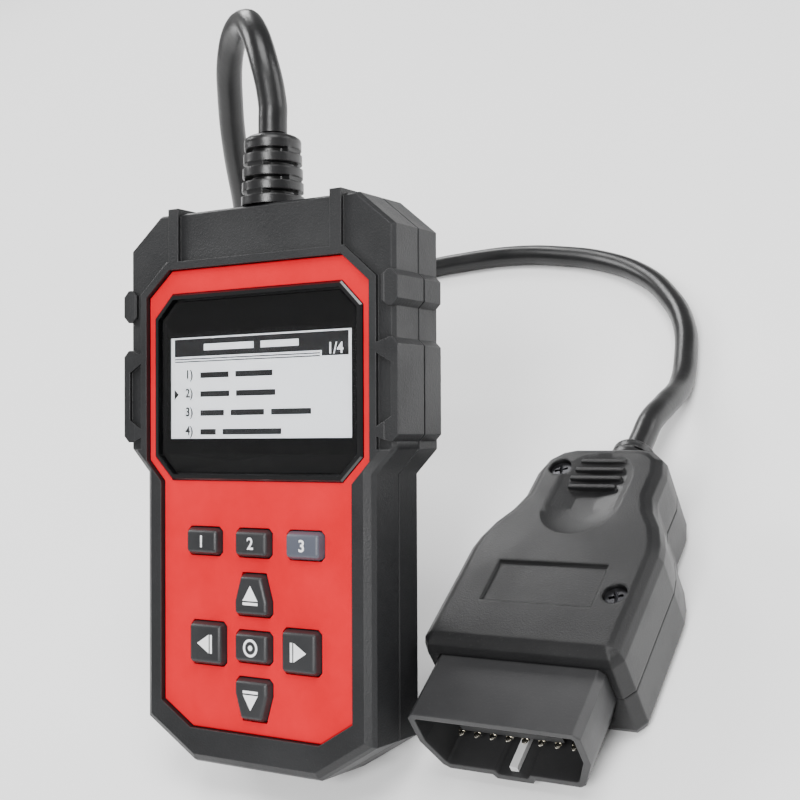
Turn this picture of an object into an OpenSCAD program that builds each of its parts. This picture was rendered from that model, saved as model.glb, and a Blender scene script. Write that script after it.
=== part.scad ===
// Hand-held vehicle code reader with a diagnostic plug on a short cord.
// The handset leans back on its lower edge and on its own cord, and the plug
// lies flat beside it with its mouth towards -Y. Millimetres, +Z up.
// Handset pieces are drawn lying on the back: x across, y along the length
// from the lower end, z out of the face from the back plane. Plug pieces are
// drawn with x across, y from the mouth towards the cord, z up from the floor.

/* [Handset] */
// Length of the casing
handset_l = 126; // [120:1:150]
// Width of the casing's rim beside the faceplate's upper part
casing_rim = 5.85; // [5.2:0.05:8]
// Width of the lower part
lower_w = 64; // [60:0.5:65]
// Thickness from back plane to front rim
handset_t = 22; // [21:0.5:28]
// Thickness of the front cover at the side
front_cover_t = 10.6; // [9.5:0.2:11.5]
// Casing wall
wall = 2; // [1.6:0.1:2.4]
// Upper corner cut across
corner_x = 9.2; // [6:0.2:12]
// Upper corner cut along
corner_y = 7.5; // [5:0.2:10]
// Lower corner cut across
foot_x = 14.3; // [10:0.2:16]
// Lower corner cut along
foot_y = 8.7; // [5:0.2:10]
// Length of the wide upper part
upper_l = 54.7; // [54:0.2:60]
// Length of the slanted waist
waist_l = 5.4; // [4:0.2:7]
// Chamfer round the back
back_edge = 4; // [2:0.2:5]
// Width of the rounding round the front
front_edge = 2; // [1:0.1:2.2]
// Half width of the parting groove
seam = 0.3; // [0.2:0.05:0.4]
// How far the handset leans back from upright
lean = 40; // [32:1:44]

/* [Bumpers] */
// How far a side bumper stands out
bumper_out = 1.45; // [0.8:0.05:2]
// Length of the short side bumper
bumper_short_l = 7.6; // [5:0.2:9]
// Length of the long side bumper
bumper_long_l = 21.7; // [18:0.2:24]
// Reach of the short bumper in from the side of the front face
bumper_in = 2.6; // [2:0.1:3.2]
// Width of the long bumper's strip outside its pocket
strip_w = 1.8; // [1.2:0.1:2.4]
// Width of an upper rib
rib_w = 3; // [2:0.1:3.6]
// Distance between the upper ribs' centres
rib_spacing = 46; // [42:0.5:48]
// How far an upper rib stands out of the top
rib_up = 1; // [0.4:0.1:1.4]
// Depth of the panels between the ribs and bumpers
panel_drop = 0.9; // [0.5:0.1:1]

/* [Faceplate] */
// Width of the faceplate beside the window
plate_side = 1.85; // [1.2:0.05:2.6]
// Width of the faceplate's lower part
plate_lower_w = 53.6; // [52:0.1:54.5]
// Distance from the top of the casing to the faceplate
plate_top_gap = 13.2; // [12.5:0.1:14]
// Distance from the bottom of the casing to the faceplate
plate_foot_gap = 8; // [7:0.1:9]
// Thickness of the faceplate
plate_t = 1.4; // [1:0.1:1.6]
// Depth of the faceplate's surface below the front rim
plate_drop = 1; // [0.6:0.1:1.4]
// Width of the raised bead round the faceplate
bead_w = 1.8; // [1.2:0.1:2.2]
// Gap round the faceplate
plate_gap = 0.15; // [0.1:0.05:0.3]

/* [Window] */
// Width of the black border beside the visible area
view_border = 3.8; // [3:0.1:4.6]
// Height of the window opening
window_h = 43.2; // [41:0.2:44]
// Distance from the top of the casing to the window
window_top_gap = 18.6; // [18:0.1:19.4]
// Corner cut of the window
window_corner = 5.4; // [4:0.2:6]
// Width of the window bezel's rim
bezel_w = 1.4; // [1:0.1:1.8]
// Height of the bezel over the faceplate
bezel_up = 0.6; // [0.3:0.1:0.9]
// Thickness of the window lens
lens_t = 1.45; // [1:0.05:1.6]
// Thickness of the printed mask behind the lens
mask_t = 0.15; // [0.1:0.05:0.2]
// Width of the display's visible area
view_w = 51.4; // [49:0.2:56]
// Height of the display's visible area
view_h = 23.4; // [21:0.2:25]
// Distance from the window's top to the visible area
view_drop = 10.2; // [9.4:0.1:11]

/* [Display module] */
// Width of the display glass beside the visible area
lcd_border = 1.1; // [0.8:0.1:1.6]
// Height of the display glass
lcd_h = 29; // [27:0.2:30]
// Thickness of the display glass
lcd_t = 1.8; // [1.4:0.1:2.2]
// Thickness of the backlight
backlight_t = 2.8; // [2:0.1:3.2]
// Height of the display's tray under the backlight
tray_t = 0.5; // [0.3:0.1:0.8]

/* [Keys] */
// Distance between the key columns of the top row
key_pitch = 14.2; // [13.2:0.1:15]
// Height of the top row over the lower end
row_y = 50.5; // [49.5:0.1:51.5]
// Height of the centre key over the lower end
nav_y = 27.4; // [27:0.1:28]
// Distance from the centre key to the side keys
nav_side = 13.2; // [12.8:0.1:14]
// Distance from the centre key to the upper and lower keys
nav_up = 11.6; // [11.4:0.1:12]
// Width of a top row key
row_key_w = 9.7; // [8:0.1:10]
// Height of a top row key
row_key_h = 6.1; // [5:0.1:6.8]
// Width of the centre key
ok_w = 9.9; // [8:0.1:10.4]
// Height of the centre key
ok_h = 6.9; // [6:0.1:7.4]
// Width of a side key
side_key_w = 10; // [8:0.1:10.4]
// Height of a side key
side_key_h = 9.6; // [8:0.1:10.4]
// Wide side of an arrow key
arrow_base = 9.9; // [8:0.1:10.2]
// Narrow side of an arrow key
arrow_tip = 6.4; // [5:0.1:8]
// Length of an arrow key
arrow_l = 9.3; // [8:0.1:9.6]
// Corner cut of a key
key_corner = 0.8; // [0.78:0.02:1]
// Height of the keys over the faceplate
key_up = 1.6; // [1:0.1:2]
// Clearance round each key
key_gap = 0.3; // [0.25:0.05:0.4]
// Travel of a key
key_travel = 0.8; // [0.5:0.1:1]
// Width of a key's flange
key_flange = 1; // [0.7:0.1:1.2]
// Thickness of a key's flange
key_flange_t = 1.4; // [1:0.1:1.6]

/* [Circuit] */
// Height of the board's underside over the back plane
board_z = 7; // [6:0.1:7.2]
// Thickness of the circuit board
board_t = 1.6; // [1.2:0.1:1.8]
// Width of the circuit board
board_w = 52; // [50:0.5:52.5]
// Height of a key switch's body
switch_t = 3.5; // [2.5:0.1:3.6]
// Side of a key switch
switch_w = 6; // [4.5:0.1:6.4]
// Thickness of the key membrane
mat_t = 0.8; // [0.5:0.1:1]
// Radius of a case screw's shank
screw_r = 1.2; // [1:0.05:1.4]
// Radius of a case screw's head
screw_head_r = 2.3; // [2:0.1:2.5]

/* [Cord] */
// Diameter of the cord
cord_d = 6.6; // [6:0.1:7]
// Depth of the cord's axis behind the front rim
cord_depth = 8; // [7.6:0.1:9]
// Length of the strain relief outside the casing
relief_l = 17; // [14:0.5:22]
// Radius of the strain relief at the casing
relief_r = 7.2; // [6:0.1:7.4]
// Radius of the strain relief at its tip
relief_tip_r = 6.3; // [5:0.1:6.8]
// Radius of the strain relief's neck
relief_neck_r = 4.6; // [4:0.1:5]

/* [Plug] */
// Width of the plug's body
plug_w = 47; // [44:0.5:47.5]
// Height of the plug's body
plug_h = 25; // [24.5:0.5:28]
// Length of the plug's body
plug_l = 66; // [62:0.5:76]
// Width of the plug's body at the cord
plug_rear_w = 33; // [30:0.5:36]
// Plug wall
plug_wall = 2; // [1.5:0.1:2.4]
// Width of the mating shroud
shroud_w = 39.5; // [38.5:0.1:40.5]
// Width of the shroud's narrow side
shroud_narrow_w = 32.5; // [31:0.1:34]
// Height of the shroud
shroud_h = 17; // [16.5:0.1:17.5]
// Length of the shroud in front of the body
shroud_l = 16.5; // [15:0.5:19]
// Shroud wall
shroud_wall = 1.5; // [1.2:0.1:1.8]
// Pitch of the contacts
pin_pitch = 4; // [3.8:0.1:4.1]
// Distance between the contact rows
pin_rows = 7.2; // [6.4:0.1:7.6]
// Contact width
pin_w = 1.5; // [1:0.1:2]
// Contact thickness
pin_t = 0.8; // [0.6:0.1:1]
// Depth of the contact tips behind the mouth
pin_drop = 5; // [4.4:0.1:6]
// Distance from the mouth to the contact block
block_drop = 12; // [10:0.5:13]
// Radius of a plug screw's head
plug_screw_head_r = 2.5; // [2.2:0.1:2.6]
// Width of the guide bar in the plug's mouth
guide_w = 1.8; // [1.2:0.1:2.2]
// Thickness of the guide bar
guide_t = 1.4; // [0.8:0.1:1.6]
// Thickness of the divider between the contact rows
divider_t = 1.4; // [1:0.1:1.8]
// Length of the plug's strain relief
plug_relief_l = 11.5; // [9:0.5:16]
// Distance of the plug's centre line from the handset's
plug_x = 57; // [57:0.5:66]
// Distance of the plug's mouth in front of the handset's rest line
plug_front = 3; // [0:0.5:8]

/* [Hidden] */
fine = 48;
eps = 0.01;

// Widths from the display outwards.
window_w = view_w + 2 * view_border;
lcd_w = view_w + 2 * lcd_border;
plate_upper_w = window_w + 2 * plate_side;
upper_w = plate_upper_w + 2 * casing_rim;

// Heights over the back plane, from the parting plane outwards.
part_z = handset_t - front_cover_t;
plate_top_z = handset_t - plate_drop;
plate_z = plate_top_z - plate_t;
floor_z = plate_z - wall;
lens_seat_z = plate_z - 0.4;
lens_top_z = lens_seat_z + mask_t + lens_t;
lcd_top_z = lens_seat_z - 0.2;
backlight_top_z = lcd_top_z - lcd_t;
tray_top_z = backlight_top_z - backlight_t;
tray_z = tray_top_z - tray_t;
board_top_z = board_z + board_t;
switch_top_z = board_top_z + switch_t;
plunger_top_z = switch_top_z + 0.9;
mat_top_z = plunger_top_z + mat_t;
flange_top_z = floor_z - key_gap;
key_foot_z = mat_top_z + key_travel + key_gap;
key_top_z = plate_top_z + key_up;
cord_z = handset_t - cord_depth;

// Heights along the handset.
waist_top_y = handset_l - upper_l;
waist_y = waist_top_y - waist_l;
window_top_y = handset_l - window_top_gap;
window_y = window_top_y - window_h;
window_mid_y = window_y + window_h / 2;
view_mid_y = window_top_y - view_drop - view_h / 2;
lcd_mid_y = view_mid_y;

// The handset stands on the edge where its back chamfer begins.
rest_z = -min(back_edge * sin(lean), back_edge * cos(lean));
front_turn = [0.3 * front_edge, handset_t - 0.45 * front_edge];
front_low = min(-(handset_t - front_edge) * cos(lean), front_turn[0] * sin(lean) - front_turn[1] * cos(lean),
    front_edge * sin(lean) - handset_t * cos(lean));
back_high = (handset_l + relief_l) * sin(lean) - (cord_z - relief_tip_r) * cos(lean);
rest_y = -(front_low + back_high) / 2;

// Polygons run counter-clockwise from the low right corner, and every corner
// has its partner across, so that a cap is a ladder of four-sided faces.
function face_outline(hu, hl, y0, y1, yw0, yw1, cx, cy, fx, fy) = [
    [hl - fx, y0], [hl, y0 + fy], [hl, yw0], [hu, yw1], [hu, y1 - cy], [hu - cx, y1],
    [-(hu - cx), y1], [-hu, y1 - cy], [-hu, yw1], [-hl, yw0], [-hl, y0 + fy], [-(hl - fx), y0]];
function unit(v) = v / norm(v);
function left_normal(a, b) = let (d = unit(b - a)) [-d[1], d[0]];
// Moves every side of a polygon inwards by d.
function inset(p, d) = [for (i = [0 : len(p) - 1])
    let (n = len(p), a = p[(i + n - 1) % n], b = p[i], c = p[(i + 1) % n],
        m = left_normal(a, b), k = left_normal(b, c)) b + d * (m + k) / (1 + m * k)];
function octagon(w, h, c) = [[w / 2 - c, -h / 2], [w / 2, -h / 2 + c], [w / 2, h / 2 - c], [w / 2 - c, h / 2],
    [-w / 2 + c, h / 2], [-w / 2, h / 2 - c], [-w / 2, -h / 2 + c], [-w / 2 + c, -h / 2]];
function shifted(p, d) = [for (q = p) q + d];

casing = face_outline(upper_w / 2, lower_w / 2, 0, handset_l, waist_y, waist_top_y, corner_x, corner_y, foot_x, foot_y);
plate = face_outline(plate_upper_w / 2, plate_lower_w / 2, plate_foot_gap, handset_l - plate_top_gap,
    waist_y - 1.9, waist_top_y - 2.5, 7, 6, 8.7, 5.4);
window = shifted(octagon(window_w, window_h, window_corner), [0, window_mid_y]);

// Solid through a stack of rings [[polygon, z], ...] that have the same count.
module loft(rings) {
    n = len(rings[0][0]);
    m = len(rings);
    top = (m - 1) * n;
    low_cap = [for (i = [0 : n / 2 - 2]) [n - 1 - i, i, i + 1, n - 2 - i]];
    high_cap = [for (f = low_cap) [top + f[3], top + f[2], top + f[1], top + f[0]]];
    points = [for (r = rings) for (p = r[0]) [p[0], p[1], r[1]]];
    sides = [for (j = [0 : m - 2]) for (i = [0 : n - 1]) let (k = (i + 1) % n)
        each [[j * n + i, (j + 1) * n + i, (j + 1) * n + k], [j * n + i, (j + 1) * n + k, j * n + k]]];
    polyhedron(points, concat(low_cap, sides, high_cap));
}
module slab(p, z0, z1) {
    translate([0, 0, z0]) linear_extrude(z1 - z0) polygon(p);
}
module ring(p, d0, d1, z0, z1) {
    difference() {
        slab(inset(p, d0), z0, z1);
        slab(inset(p, d1), z0 - 1, z1 + 1);
    }
}
module block(size, at) {
    translate([at[0] - size[0] / 2, at[1] - size[1] / 2, at[2]]) cube(size);
}
module peg(r, z0, z1, at) {
    translate([at[0], at[1], z0]) cylinder(r = r, h = z1 - z0, $fn = fine);
}
// Places what is drawn in the handset's frame, and in the plug's.
module on_handset() {
    translate([0, rest_y, rest_z]) rotate([90 - lean, 0, 0]) children();
}
module on_plug() {
    translate([plug_x, rest_y - plug_front, 0]) children();
}

// Case screws go through posts in the back cover into the front cover.
post_r = 3.8;
boss_r = 3;
case_screw_at = [for (s = [-1, 1]) each [[s * (board_w / 2 + post_r + 0.2), handset_l - 18], [s * 14, wall + post_r + 0.7]]];
counterbore_z = 5;
// Board screws stand on the back cover's standoffs.
standoff_r = 2.6;
board_y = 11;
board_l = handset_l - 11 - 10;
board_screw_at = [for (s = [-1, 1]) for (y = [board_y + 5, board_y + board_l - 3.4]) [s * (board_w / 2 - 3), y]];

// Label recess and grip grooves of the back, clear of the back's chamfer.
label_w = lower_w - 2 * back_edge - 12;
label_h = upper_l / 2 - 1.35;
grip_w = label_w - 10;

// Side bumpers: [start, length] along the handset.
bumper_spots = [[handset_l - 17.1 - bumper_short_l, bumper_short_l], [waist_top_y + 1.7, bumper_long_l]];

module bumper(spot, z0, z1, out, inward) {
    a = spot[0];
    b = spot[0] + spot[1];
    x = upper_w / 2;
    for (s = [0, 1]) mirror([s, 0, 0])
        slab([[x - inward, a + 1.2], [x - 1, a], [x, a], [x + out, a + out], [x + out, b - out], [x, b],
            [x - 1, b], [x - inward, b - 1.2]], z0, z1);
}
// Ribs from the bead round the faceplate to the top, and over it.
module rib_pair(z0, z1, proud) {
    l = plate_top_gap - plate_gap - bead_w / 2 + proud;
    for (s = [-1, 1]) block([rib_w, l, z1 - z0], [s * rib_spacing / 2, handset_l + proud - l / 2, z0]);
}

module front_cover() {
    color([0.16, 0.16, 0.165]) on_handset() difference() {
        union() {
            loft([[inset(casing, seam), part_z], [casing, part_z + seam], [casing, handset_t - front_edge],
                [inset(casing, front_turn[0]), front_turn[1]],
                [inset(casing, front_edge), handset_t]]);
            for (b = bumper_spots) bumper(b, part_z + seam, handset_t - 0.1, bumper_out, bumper_in);
            rib_pair(part_z + seam, handset_t, rib_up);
        }
        front_panels();
        // Hollow for the circuit, with the front wall left under the faceplate.
        difference() {
            slab(inset(casing, wall), part_z - 1, floor_z);
            for (p = case_screw_at) peg(boss_r, part_z - 2, floor_z + 1, p);
        }
        // Deeper pocket for the cord's tail behind the top panel.
        slab([[-9, handset_l - 11.5], [9, handset_l - 11.5], [9, handset_l - wall], [-9, handset_l - wall]],
            part_z - 1, handset_t - wall);
        for (p = case_screw_at) peg(screw_r + 0.05, part_z - 1, floor_z - 0.6, p);
        // Seat of the faceplate and of the lens, and the display's opening.
        slab(inset(plate, -plate_gap), plate_z, handset_t + 5);
        slab(inset(window, bezel_w + 0.25), lens_seat_z, plate_z + 1);
        block([lcd_w + 0.6, lcd_h + 0.6, 6], [0, lcd_mid_y, floor_z - 3]);
        for (k = keys) slab(shifted(inset(k[1], -key_gap), k[0]), floor_z - 1, plate_z + 1);
        // Cord port, half of it in each cover.
        translate([0, handset_l - wall - 1, cord_z]) rotate([-90, 0, 0])
            cylinder(r = relief_neck_r + 0.2, h = wall + 4, $fn = fine);
        block([2 * (relief_neck_r + 0.2), wall + 4, cord_z - part_z + 1], [0, handset_l - wall + 1, part_z - 1]);
    }
}
// Panels left lower between the bead, the ribs and the bumpers, and the
// pocket in each long bumper.
module front_panels() {
    bead = inset(plate, -plate_gap - bead_w);
    bead_x = plate_upper_w / 2 + plate_gap + bead_w;
    z0 = handset_t - panel_drop;
    z1 = handset_t + 5;
    reach = upper_w + 8;
    difference() {
        block([reach, upper_l + 8, z1 - z0], [0, waist_top_y + upper_l / 2 + 4, z0]);
        slab(bead, z0 - 1, z1 + 1);
        rib_pair(z0 - 1, z1 + 1, rib_up + 2);
        bumper(bumper_spots[0], z0 - 1, z1 + 1, bumper_out + 2, bumper_in);
        bumper(bumper_spots[1], z0 - 1, z1 + 1, bumper_out + 2, upper_w / 2 - bead_x + 0.5);
    }
    a = bumper_spots[1][0] + 3.4;
    b = a + bumper_spots[1][1] - 6.8;
    x = upper_w / 2 + bumper_out - strip_w;
    for (s = [0, 1]) mirror([s, 0, 0]) difference() {
        slab([[bead_x - 1, a - 1], [bead_x + 0.4, a], [x, a + 1.8], [x, b - 1.8], [bead_x + 0.4, b], [bead_x - 1, b + 1]], z0, z1);
        slab(bead, z0 - 1, z1 + 1);
    }
}

module back_cover() {
    color([0.15, 0.15, 0.155]) on_handset() difference() {
        union() {
            difference() {
                union() {
                    loft([[inset(casing, back_edge), 0], [casing, back_edge], [casing, part_z - seam],
                        [inset(casing, seam), part_z]]);
                    for (b = bumper_spots) bumper(b, back_edge + 0.6, part_z - seam, bumper_out, bumper_in);
                }
                loft([[inset(casing, back_edge + wall), wall], [inset(casing, wall), wall + back_edge],
                    [inset(casing, wall), part_z + 1]]);
            }
            for (p = case_screw_at) peg(post_r, wall / 2, part_z, p);
            for (p = board_screw_at) peg(standoff_r, wall / 2, board_z, p);
        }
        for (p = case_screw_at) {
            peg(screw_head_r + 0.3, -1, counterbore_z, p);
            peg(screw_r + 0.3, -1, part_z + 1, p);
        }
        for (p = board_screw_at) peg(0.95, 3, board_z + 1, p);
        // Shallow bare recess for a label, and the grip grooves below it.
        slab(shifted(octagon(label_w, label_h, 3), [0, waist_top_y + 12.7]), -1, 0.6);
        for (i = [0 : 5]) block([grip_w, 1.6, 1.6], [0, 24 + i * 5, -1]);
        translate([0, handset_l - wall - 1, cord_z]) rotate([-90, 0, 0])
            cylinder(r = relief_neck_r + 0.2, h = wall + 4, $fn = fine);
    }
}

module faceplate() {
    color([0.86, 0.16, 0.17]) on_handset() difference() {
        loft([[plate, plate_z], [plate, plate_top_z - 0.3], [inset(plate, 0.3), plate_top_z]]);
        slab(window, plate_z - 1, plate_top_z + 1);
        for (k = keys) slab(shifted(inset(k[1], -key_gap), k[0]), plate_z - 1, plate_top_z + 1);
    }
}
module window_bezel() {
    color([0.06, 0.06, 0.065]) on_handset() difference() {
        loft([[inset(window, plate_gap), plate_z], [inset(window, plate_gap), plate_top_z + bezel_up - 0.4],
            [inset(window, plate_gap + 0.4), plate_top_z + bezel_up]]);
        slab(inset(window, bezel_w), plate_z - 1, plate_top_z + bezel_up + 1);
    }
}
lens = inset(window, bezel_w + 0.4);
module window_lens() {
    color([0.1, 0.1, 0.11, 0.4]) on_handset()
        loft([[lens, lens_seat_z + mask_t], [lens, lens_top_z - 0.25], [inset(lens, 0.25), lens_top_z]]);
}
module window_mask() {
    color([0.05, 0.05, 0.055]) on_handset() difference() {
        slab(lens, lens_seat_z, lens_seat_z + mask_t);
        block([view_w, view_h, 2], [0, view_mid_y, lens_seat_z - 1]);
    }
}
module lcd_glass() {
    color([0.93, 0.94, 0.93]) on_handset() union() {
        block([lcd_w, lcd_h, lcd_t / 2], [0, lcd_mid_y, backlight_top_z]);
        block([lcd_w, lcd_h - 2.4, lcd_t / 2 + eps], [0, lcd_mid_y + 1.2, backlight_top_z + lcd_t / 2 - eps]);
    }
}
module lcd_backlight() {
    color([0.95, 0.96, 0.98]) on_handset()
        block([lcd_w, lcd_h, backlight_t], [0, lcd_mid_y, tray_top_z]);
}
// Tray that carries the display over the board on four legs.
module lcd_tray() {
    color([0.7, 0.71, 0.72]) on_handset() difference() {
        union() {
            block([lcd_w + 2, lcd_h + 2, tray_t], [0, lcd_mid_y, tray_z]);
            difference() {
                block([lcd_w + 2, lcd_h + 2, 2], [0, lcd_mid_y, tray_z]);
                block([lcd_w + 0.2, lcd_h + 0.2, 4], [0, lcd_mid_y, tray_z - 1]);
            }
            for (s = [-1, 1]) for (e = [-1, 1]) block([3, 3, tray_z - board_top_z + eps],
                [s * (board_w / 2 - 2), lcd_mid_y + e * (lcd_h / 2 - 1), board_top_z]);
        }
        block([12, 8, tray_t + 2], [0, lcd_mid_y, tray_z - 1]);
    }
}
module lcd_ribbon() {
    color([0.62, 0.4, 0.16]) on_handset() union() {
        block([20, 0.3, tray_top_z + 1.4 - board_top_z], [0, lcd_mid_y - lcd_h / 2 - 1.4, board_top_z]);
        block([20, 2.4, 0.3], [0, lcd_mid_y - lcd_h / 2 - 2.3, board_top_z]);
    }
}
module main_board() {
    color([0.06, 0.3, 0.16]) on_handset() difference() {
        block([board_w, board_l, board_t], [0, board_y + board_l / 2, board_z]);
        for (p = board_screw_at) peg(1.1, board_z - 1, board_top_z + 1, p);
    }
}
// Square chip with its rows of leads.
module chip(w, l, h, leads) {
    translate([-w / 2, -l / 2, 0.15]) cube([w, l, h]);
    for (i = [0 : leads - 1]) for (s = [-1, 1])
        block([1.2, l / leads * 0.5, 0.5], [s * (w / 2 + 0.5), (i - (leads - 1) / 2) * l / leads, 0]);
}
module processor() {
    color([0.09, 0.09, 0.1]) on_handset() translate([-9, lcd_mid_y, board_top_z]) chip(12, 12, 1.4, 10);
}
module interface_chips() {
    color([0.09, 0.09, 0.1]) on_handset() for (p = [[8, lcd_mid_y + 6], [8, lcd_mid_y - 6], [18, lcd_mid_y + 6]])
        translate([p[0], p[1], board_top_z]) chip(4, 5, 1.5, 4);
}
module small_parts() {
    color([0.72, 0.6, 0.42]) on_handset() {
        for (i = [0 : 5]) block([1.6, 0.9, 0.8], [-20 + i * 3, lcd_mid_y - 9.5, board_top_z]);
        for (i = [0 : 2]) block([2.2, 3.4, 1.4], [18, lcd_mid_y - 11 + i * 4.4, board_top_z]);
        for (s = [-1, 1]) peg(2, board_top_z, board_top_z + 3.6, [s * 14, board_y + board_l - 5]);
    }
}
module buzzer() {
    color([0.08, 0.08, 0.08]) on_handset() translate([-board_w / 2 + 6.5, row_y + 10, board_top_z]) difference() {
        cylinder(r = 4.2, h = 3.6, $fn = fine);
        translate([0, 0, 2.6]) cylinder(r = 0.9, h = 2, $fn = 24);
    }
}

// Key outlines about their own centre, and [centre, outline] for each key:
// the top row from the left, then up, left, centre, right and down.
function rect_key(w, h) = octagon(w, h, key_corner);
function arrow_key(turn) = [for (p = [[arrow_base / 2 - key_corner, -arrow_l / 2],
    [arrow_base / 2, -arrow_l / 2 + key_corner], [arrow_base / 2, -arrow_l / 2 + 3.4],
    [arrow_tip / 2, arrow_l / 2], [-arrow_tip / 2, arrow_l / 2],
    [-arrow_base / 2, -arrow_l / 2 + 3.4], [-arrow_base / 2, -arrow_l / 2 + key_corner],
    [-arrow_base / 2 + key_corner, -arrow_l / 2]])
    [p[0] * cos(turn) - p[1] * sin(turn), p[0] * sin(turn) + p[1] * cos(turn)]];
keys = [
    [[-key_pitch, row_y], rect_key(row_key_w, row_key_h)],
    [[0, row_y], rect_key(row_key_w, row_key_h)],
    [[key_pitch, row_y], rect_key(row_key_w, row_key_h)],
    [[0, nav_y + nav_up], arrow_key(0)],
    [[-nav_side, nav_y], rect_key(side_key_w, side_key_h)],
    [[0, nav_y], rect_key(ok_w, ok_h)],
    [[nav_side, nav_y], rect_key(side_key_w, side_key_h)],
    [[0, nav_y - nav_up], arrow_key(180)]];

// One key: a domed cap, a flange that stops it behind the front wall, a foot.
module key(i) {
    at = keys[i][0];
    p = keys[i][1];
    on_handset() translate([at[0], at[1], 0]) union() {
        loft([[p, flange_top_z - eps], [p, plate_top_z + 0.2], [inset(p, 0.35), key_top_z - 0.6],
            [inset(p, 0.75), key_top_z - 0.2], [inset(p, 1.3), key_top_z]]);
        slab(inset(p, -key_flange), flange_top_z - key_flange_t, flange_top_z);
        cylinder_between(2, key_foot_z, flange_top_z - key_flange_t + eps);
    }
}
module cylinder_between(r, z0, z1) {
    translate([0, 0, min(z0, z1)]) cylinder(r = r, h = max(abs(z1 - z0), eps), $fn = fine);
}
module key_one() { color([0.2, 0.2, 0.21]) key(0); }
module key_two() { color([0.2, 0.2, 0.21]) key(1); }
module key_three() { color([0.33, 0.34, 0.38]) key(2); }
module key_up_arrow() { color([0.2, 0.2, 0.21]) key(3); }
module key_left_arrow() { color([0.2, 0.2, 0.21]) key(4); }
module key_centre() { color([0.2, 0.2, 0.21]) key(5); }
module key_right_arrow() { color([0.2, 0.2, 0.21]) key(6); }
module key_down_arrow() { color([0.2, 0.2, 0.21]) key(7); }

module key_switches() {
    color([0.75, 0.75, 0.74]) on_handset() for (k = keys) translate([k[0][0], k[0][1], 0]) union() {
        block([switch_w, switch_w, switch_t], [0, 0, board_top_z]);
        cylinder_between(1.7, switch_top_z - eps, plunger_top_z);
    }
}
module key_membrane() {
    color([0.82, 0.83, 0.84]) on_handset() union() {
        slab([[-key_pitch - 6, row_y - 5], [key_pitch + 6, row_y - 5], [key_pitch + 6, row_y + 5], [-key_pitch - 6, row_y + 5]],
            plunger_top_z, mat_top_z);
        slab([[-nav_side - 6, nav_y - nav_up - 5], [nav_side + 6, nav_y - nav_up - 5], [nav_side + 6, row_y - 4.9],
            [-nav_side - 6, row_y - 4.9]], plunger_top_z, mat_top_z);
    }
}
module case_screws() {
    color([0.3, 0.3, 0.32]) on_handset() for (p = case_screw_at) difference() {
        union() {
            peg(screw_head_r, counterbore_z - 1.8, counterbore_z, p);
            peg(screw_r, counterbore_z - 0.1, floor_z - 1, p);
        }
        for (a = [0, 90]) translate([p[0], p[1], 0]) rotate(a) block([2.6, 0.6, 1.2], [0, 0, counterbore_z - 2]);
    }
}
module board_screws() {
    color([0.75, 0.75, 0.76]) on_handset() for (p = board_screw_at) difference() {
        union() {
            peg(1.9, board_top_z, board_top_z + 1.2, p);
            peg(0.9, 3.4, board_top_z + 0.1, p);
        }
        for (a = [0, 90]) translate([p[0], p[1], 0]) rotate(a) block([2.2, 0.5, 1], [0, 0, board_top_z + 0.6]);
    }
}

// The cord's tail comes in at the top and its wires end in a header.
tail_y = handset_l - 12.4;
relief_in_y = handset_l - wall - 0.3;
relief_flange_t = 3;
module cord_header() {
    color([0.9, 0.88, 0.8]) on_handset() block([13, 4.6, 5.4], [0, tail_y - 3.2 - 2.3, board_top_z]);
}
module lead_wires() {
    for (i = [0 : 3]) color([[0.7, 0.1, 0.1], [0.1, 0.1, 0.1], [0.1, 0.45, 0.15], [0.75, 0.65, 0.1]][i])
        on_handset() translate([(i - 1.5) * 1.3, tail_y - 3.2, cord_z - 1.6]) rotate([-90, 0, 0])
            cylinder(r = 0.5, h = 3.2, $fn = 16);
}
module cord_tail() {
    color([0.07, 0.07, 0.07]) on_handset() translate([0, tail_y, cord_z]) rotate([-90, 0, 0])
        cylinder(r = cord_d / 2, h = relief_in_y - relief_flange_t - tail_y, $fn = fine);
}
// Tapered relief, slotted in turn on the flats and on the edges.
module slotted_relief(l, r0, r1, core, slots, slot_w, bridge) {
    pitch = l / (slots + 0.6);
    difference() {
        cylinder(r1 = r0, r2 = r1, h = l, $fn = fine);
        for (i = [1 : slots]) translate([0, 0, i * pitch - slot_w]) rotate((i % 2) * 90) difference() {
            cylinder(r = r0 + 2, h = slot_w, $fn = fine);
            translate([0, 0, -1]) cylinder(r = core, h = slot_w + 2, $fn = fine);
            translate([-r0 - 2, -bridge / 2, -1]) cube([2 * r0 + 4, bridge, slot_w + 2]);
        }
    }
}
module strain_relief() {
    color([0.1, 0.1, 0.1]) on_handset() translate([0, handset_l, cord_z]) rotate([-90, 0, 0]) union() {
        translate([0, 0, 0.3]) slotted_relief(relief_l - 0.3, relief_r, relief_tip_r, relief_neck_r, 4, 1.1, 4.4);
        translate([0, 0, relief_in_y - handset_l - relief_flange_t])
            cylinder(r = relief_neck_r + 1.2, h = relief_flange_t, $fn = fine);
        translate([0, 0, relief_in_y - handset_l - eps]) cylinder(r = relief_neck_r, h = wall + 0.7, $fn = fine);
    }
}

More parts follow.
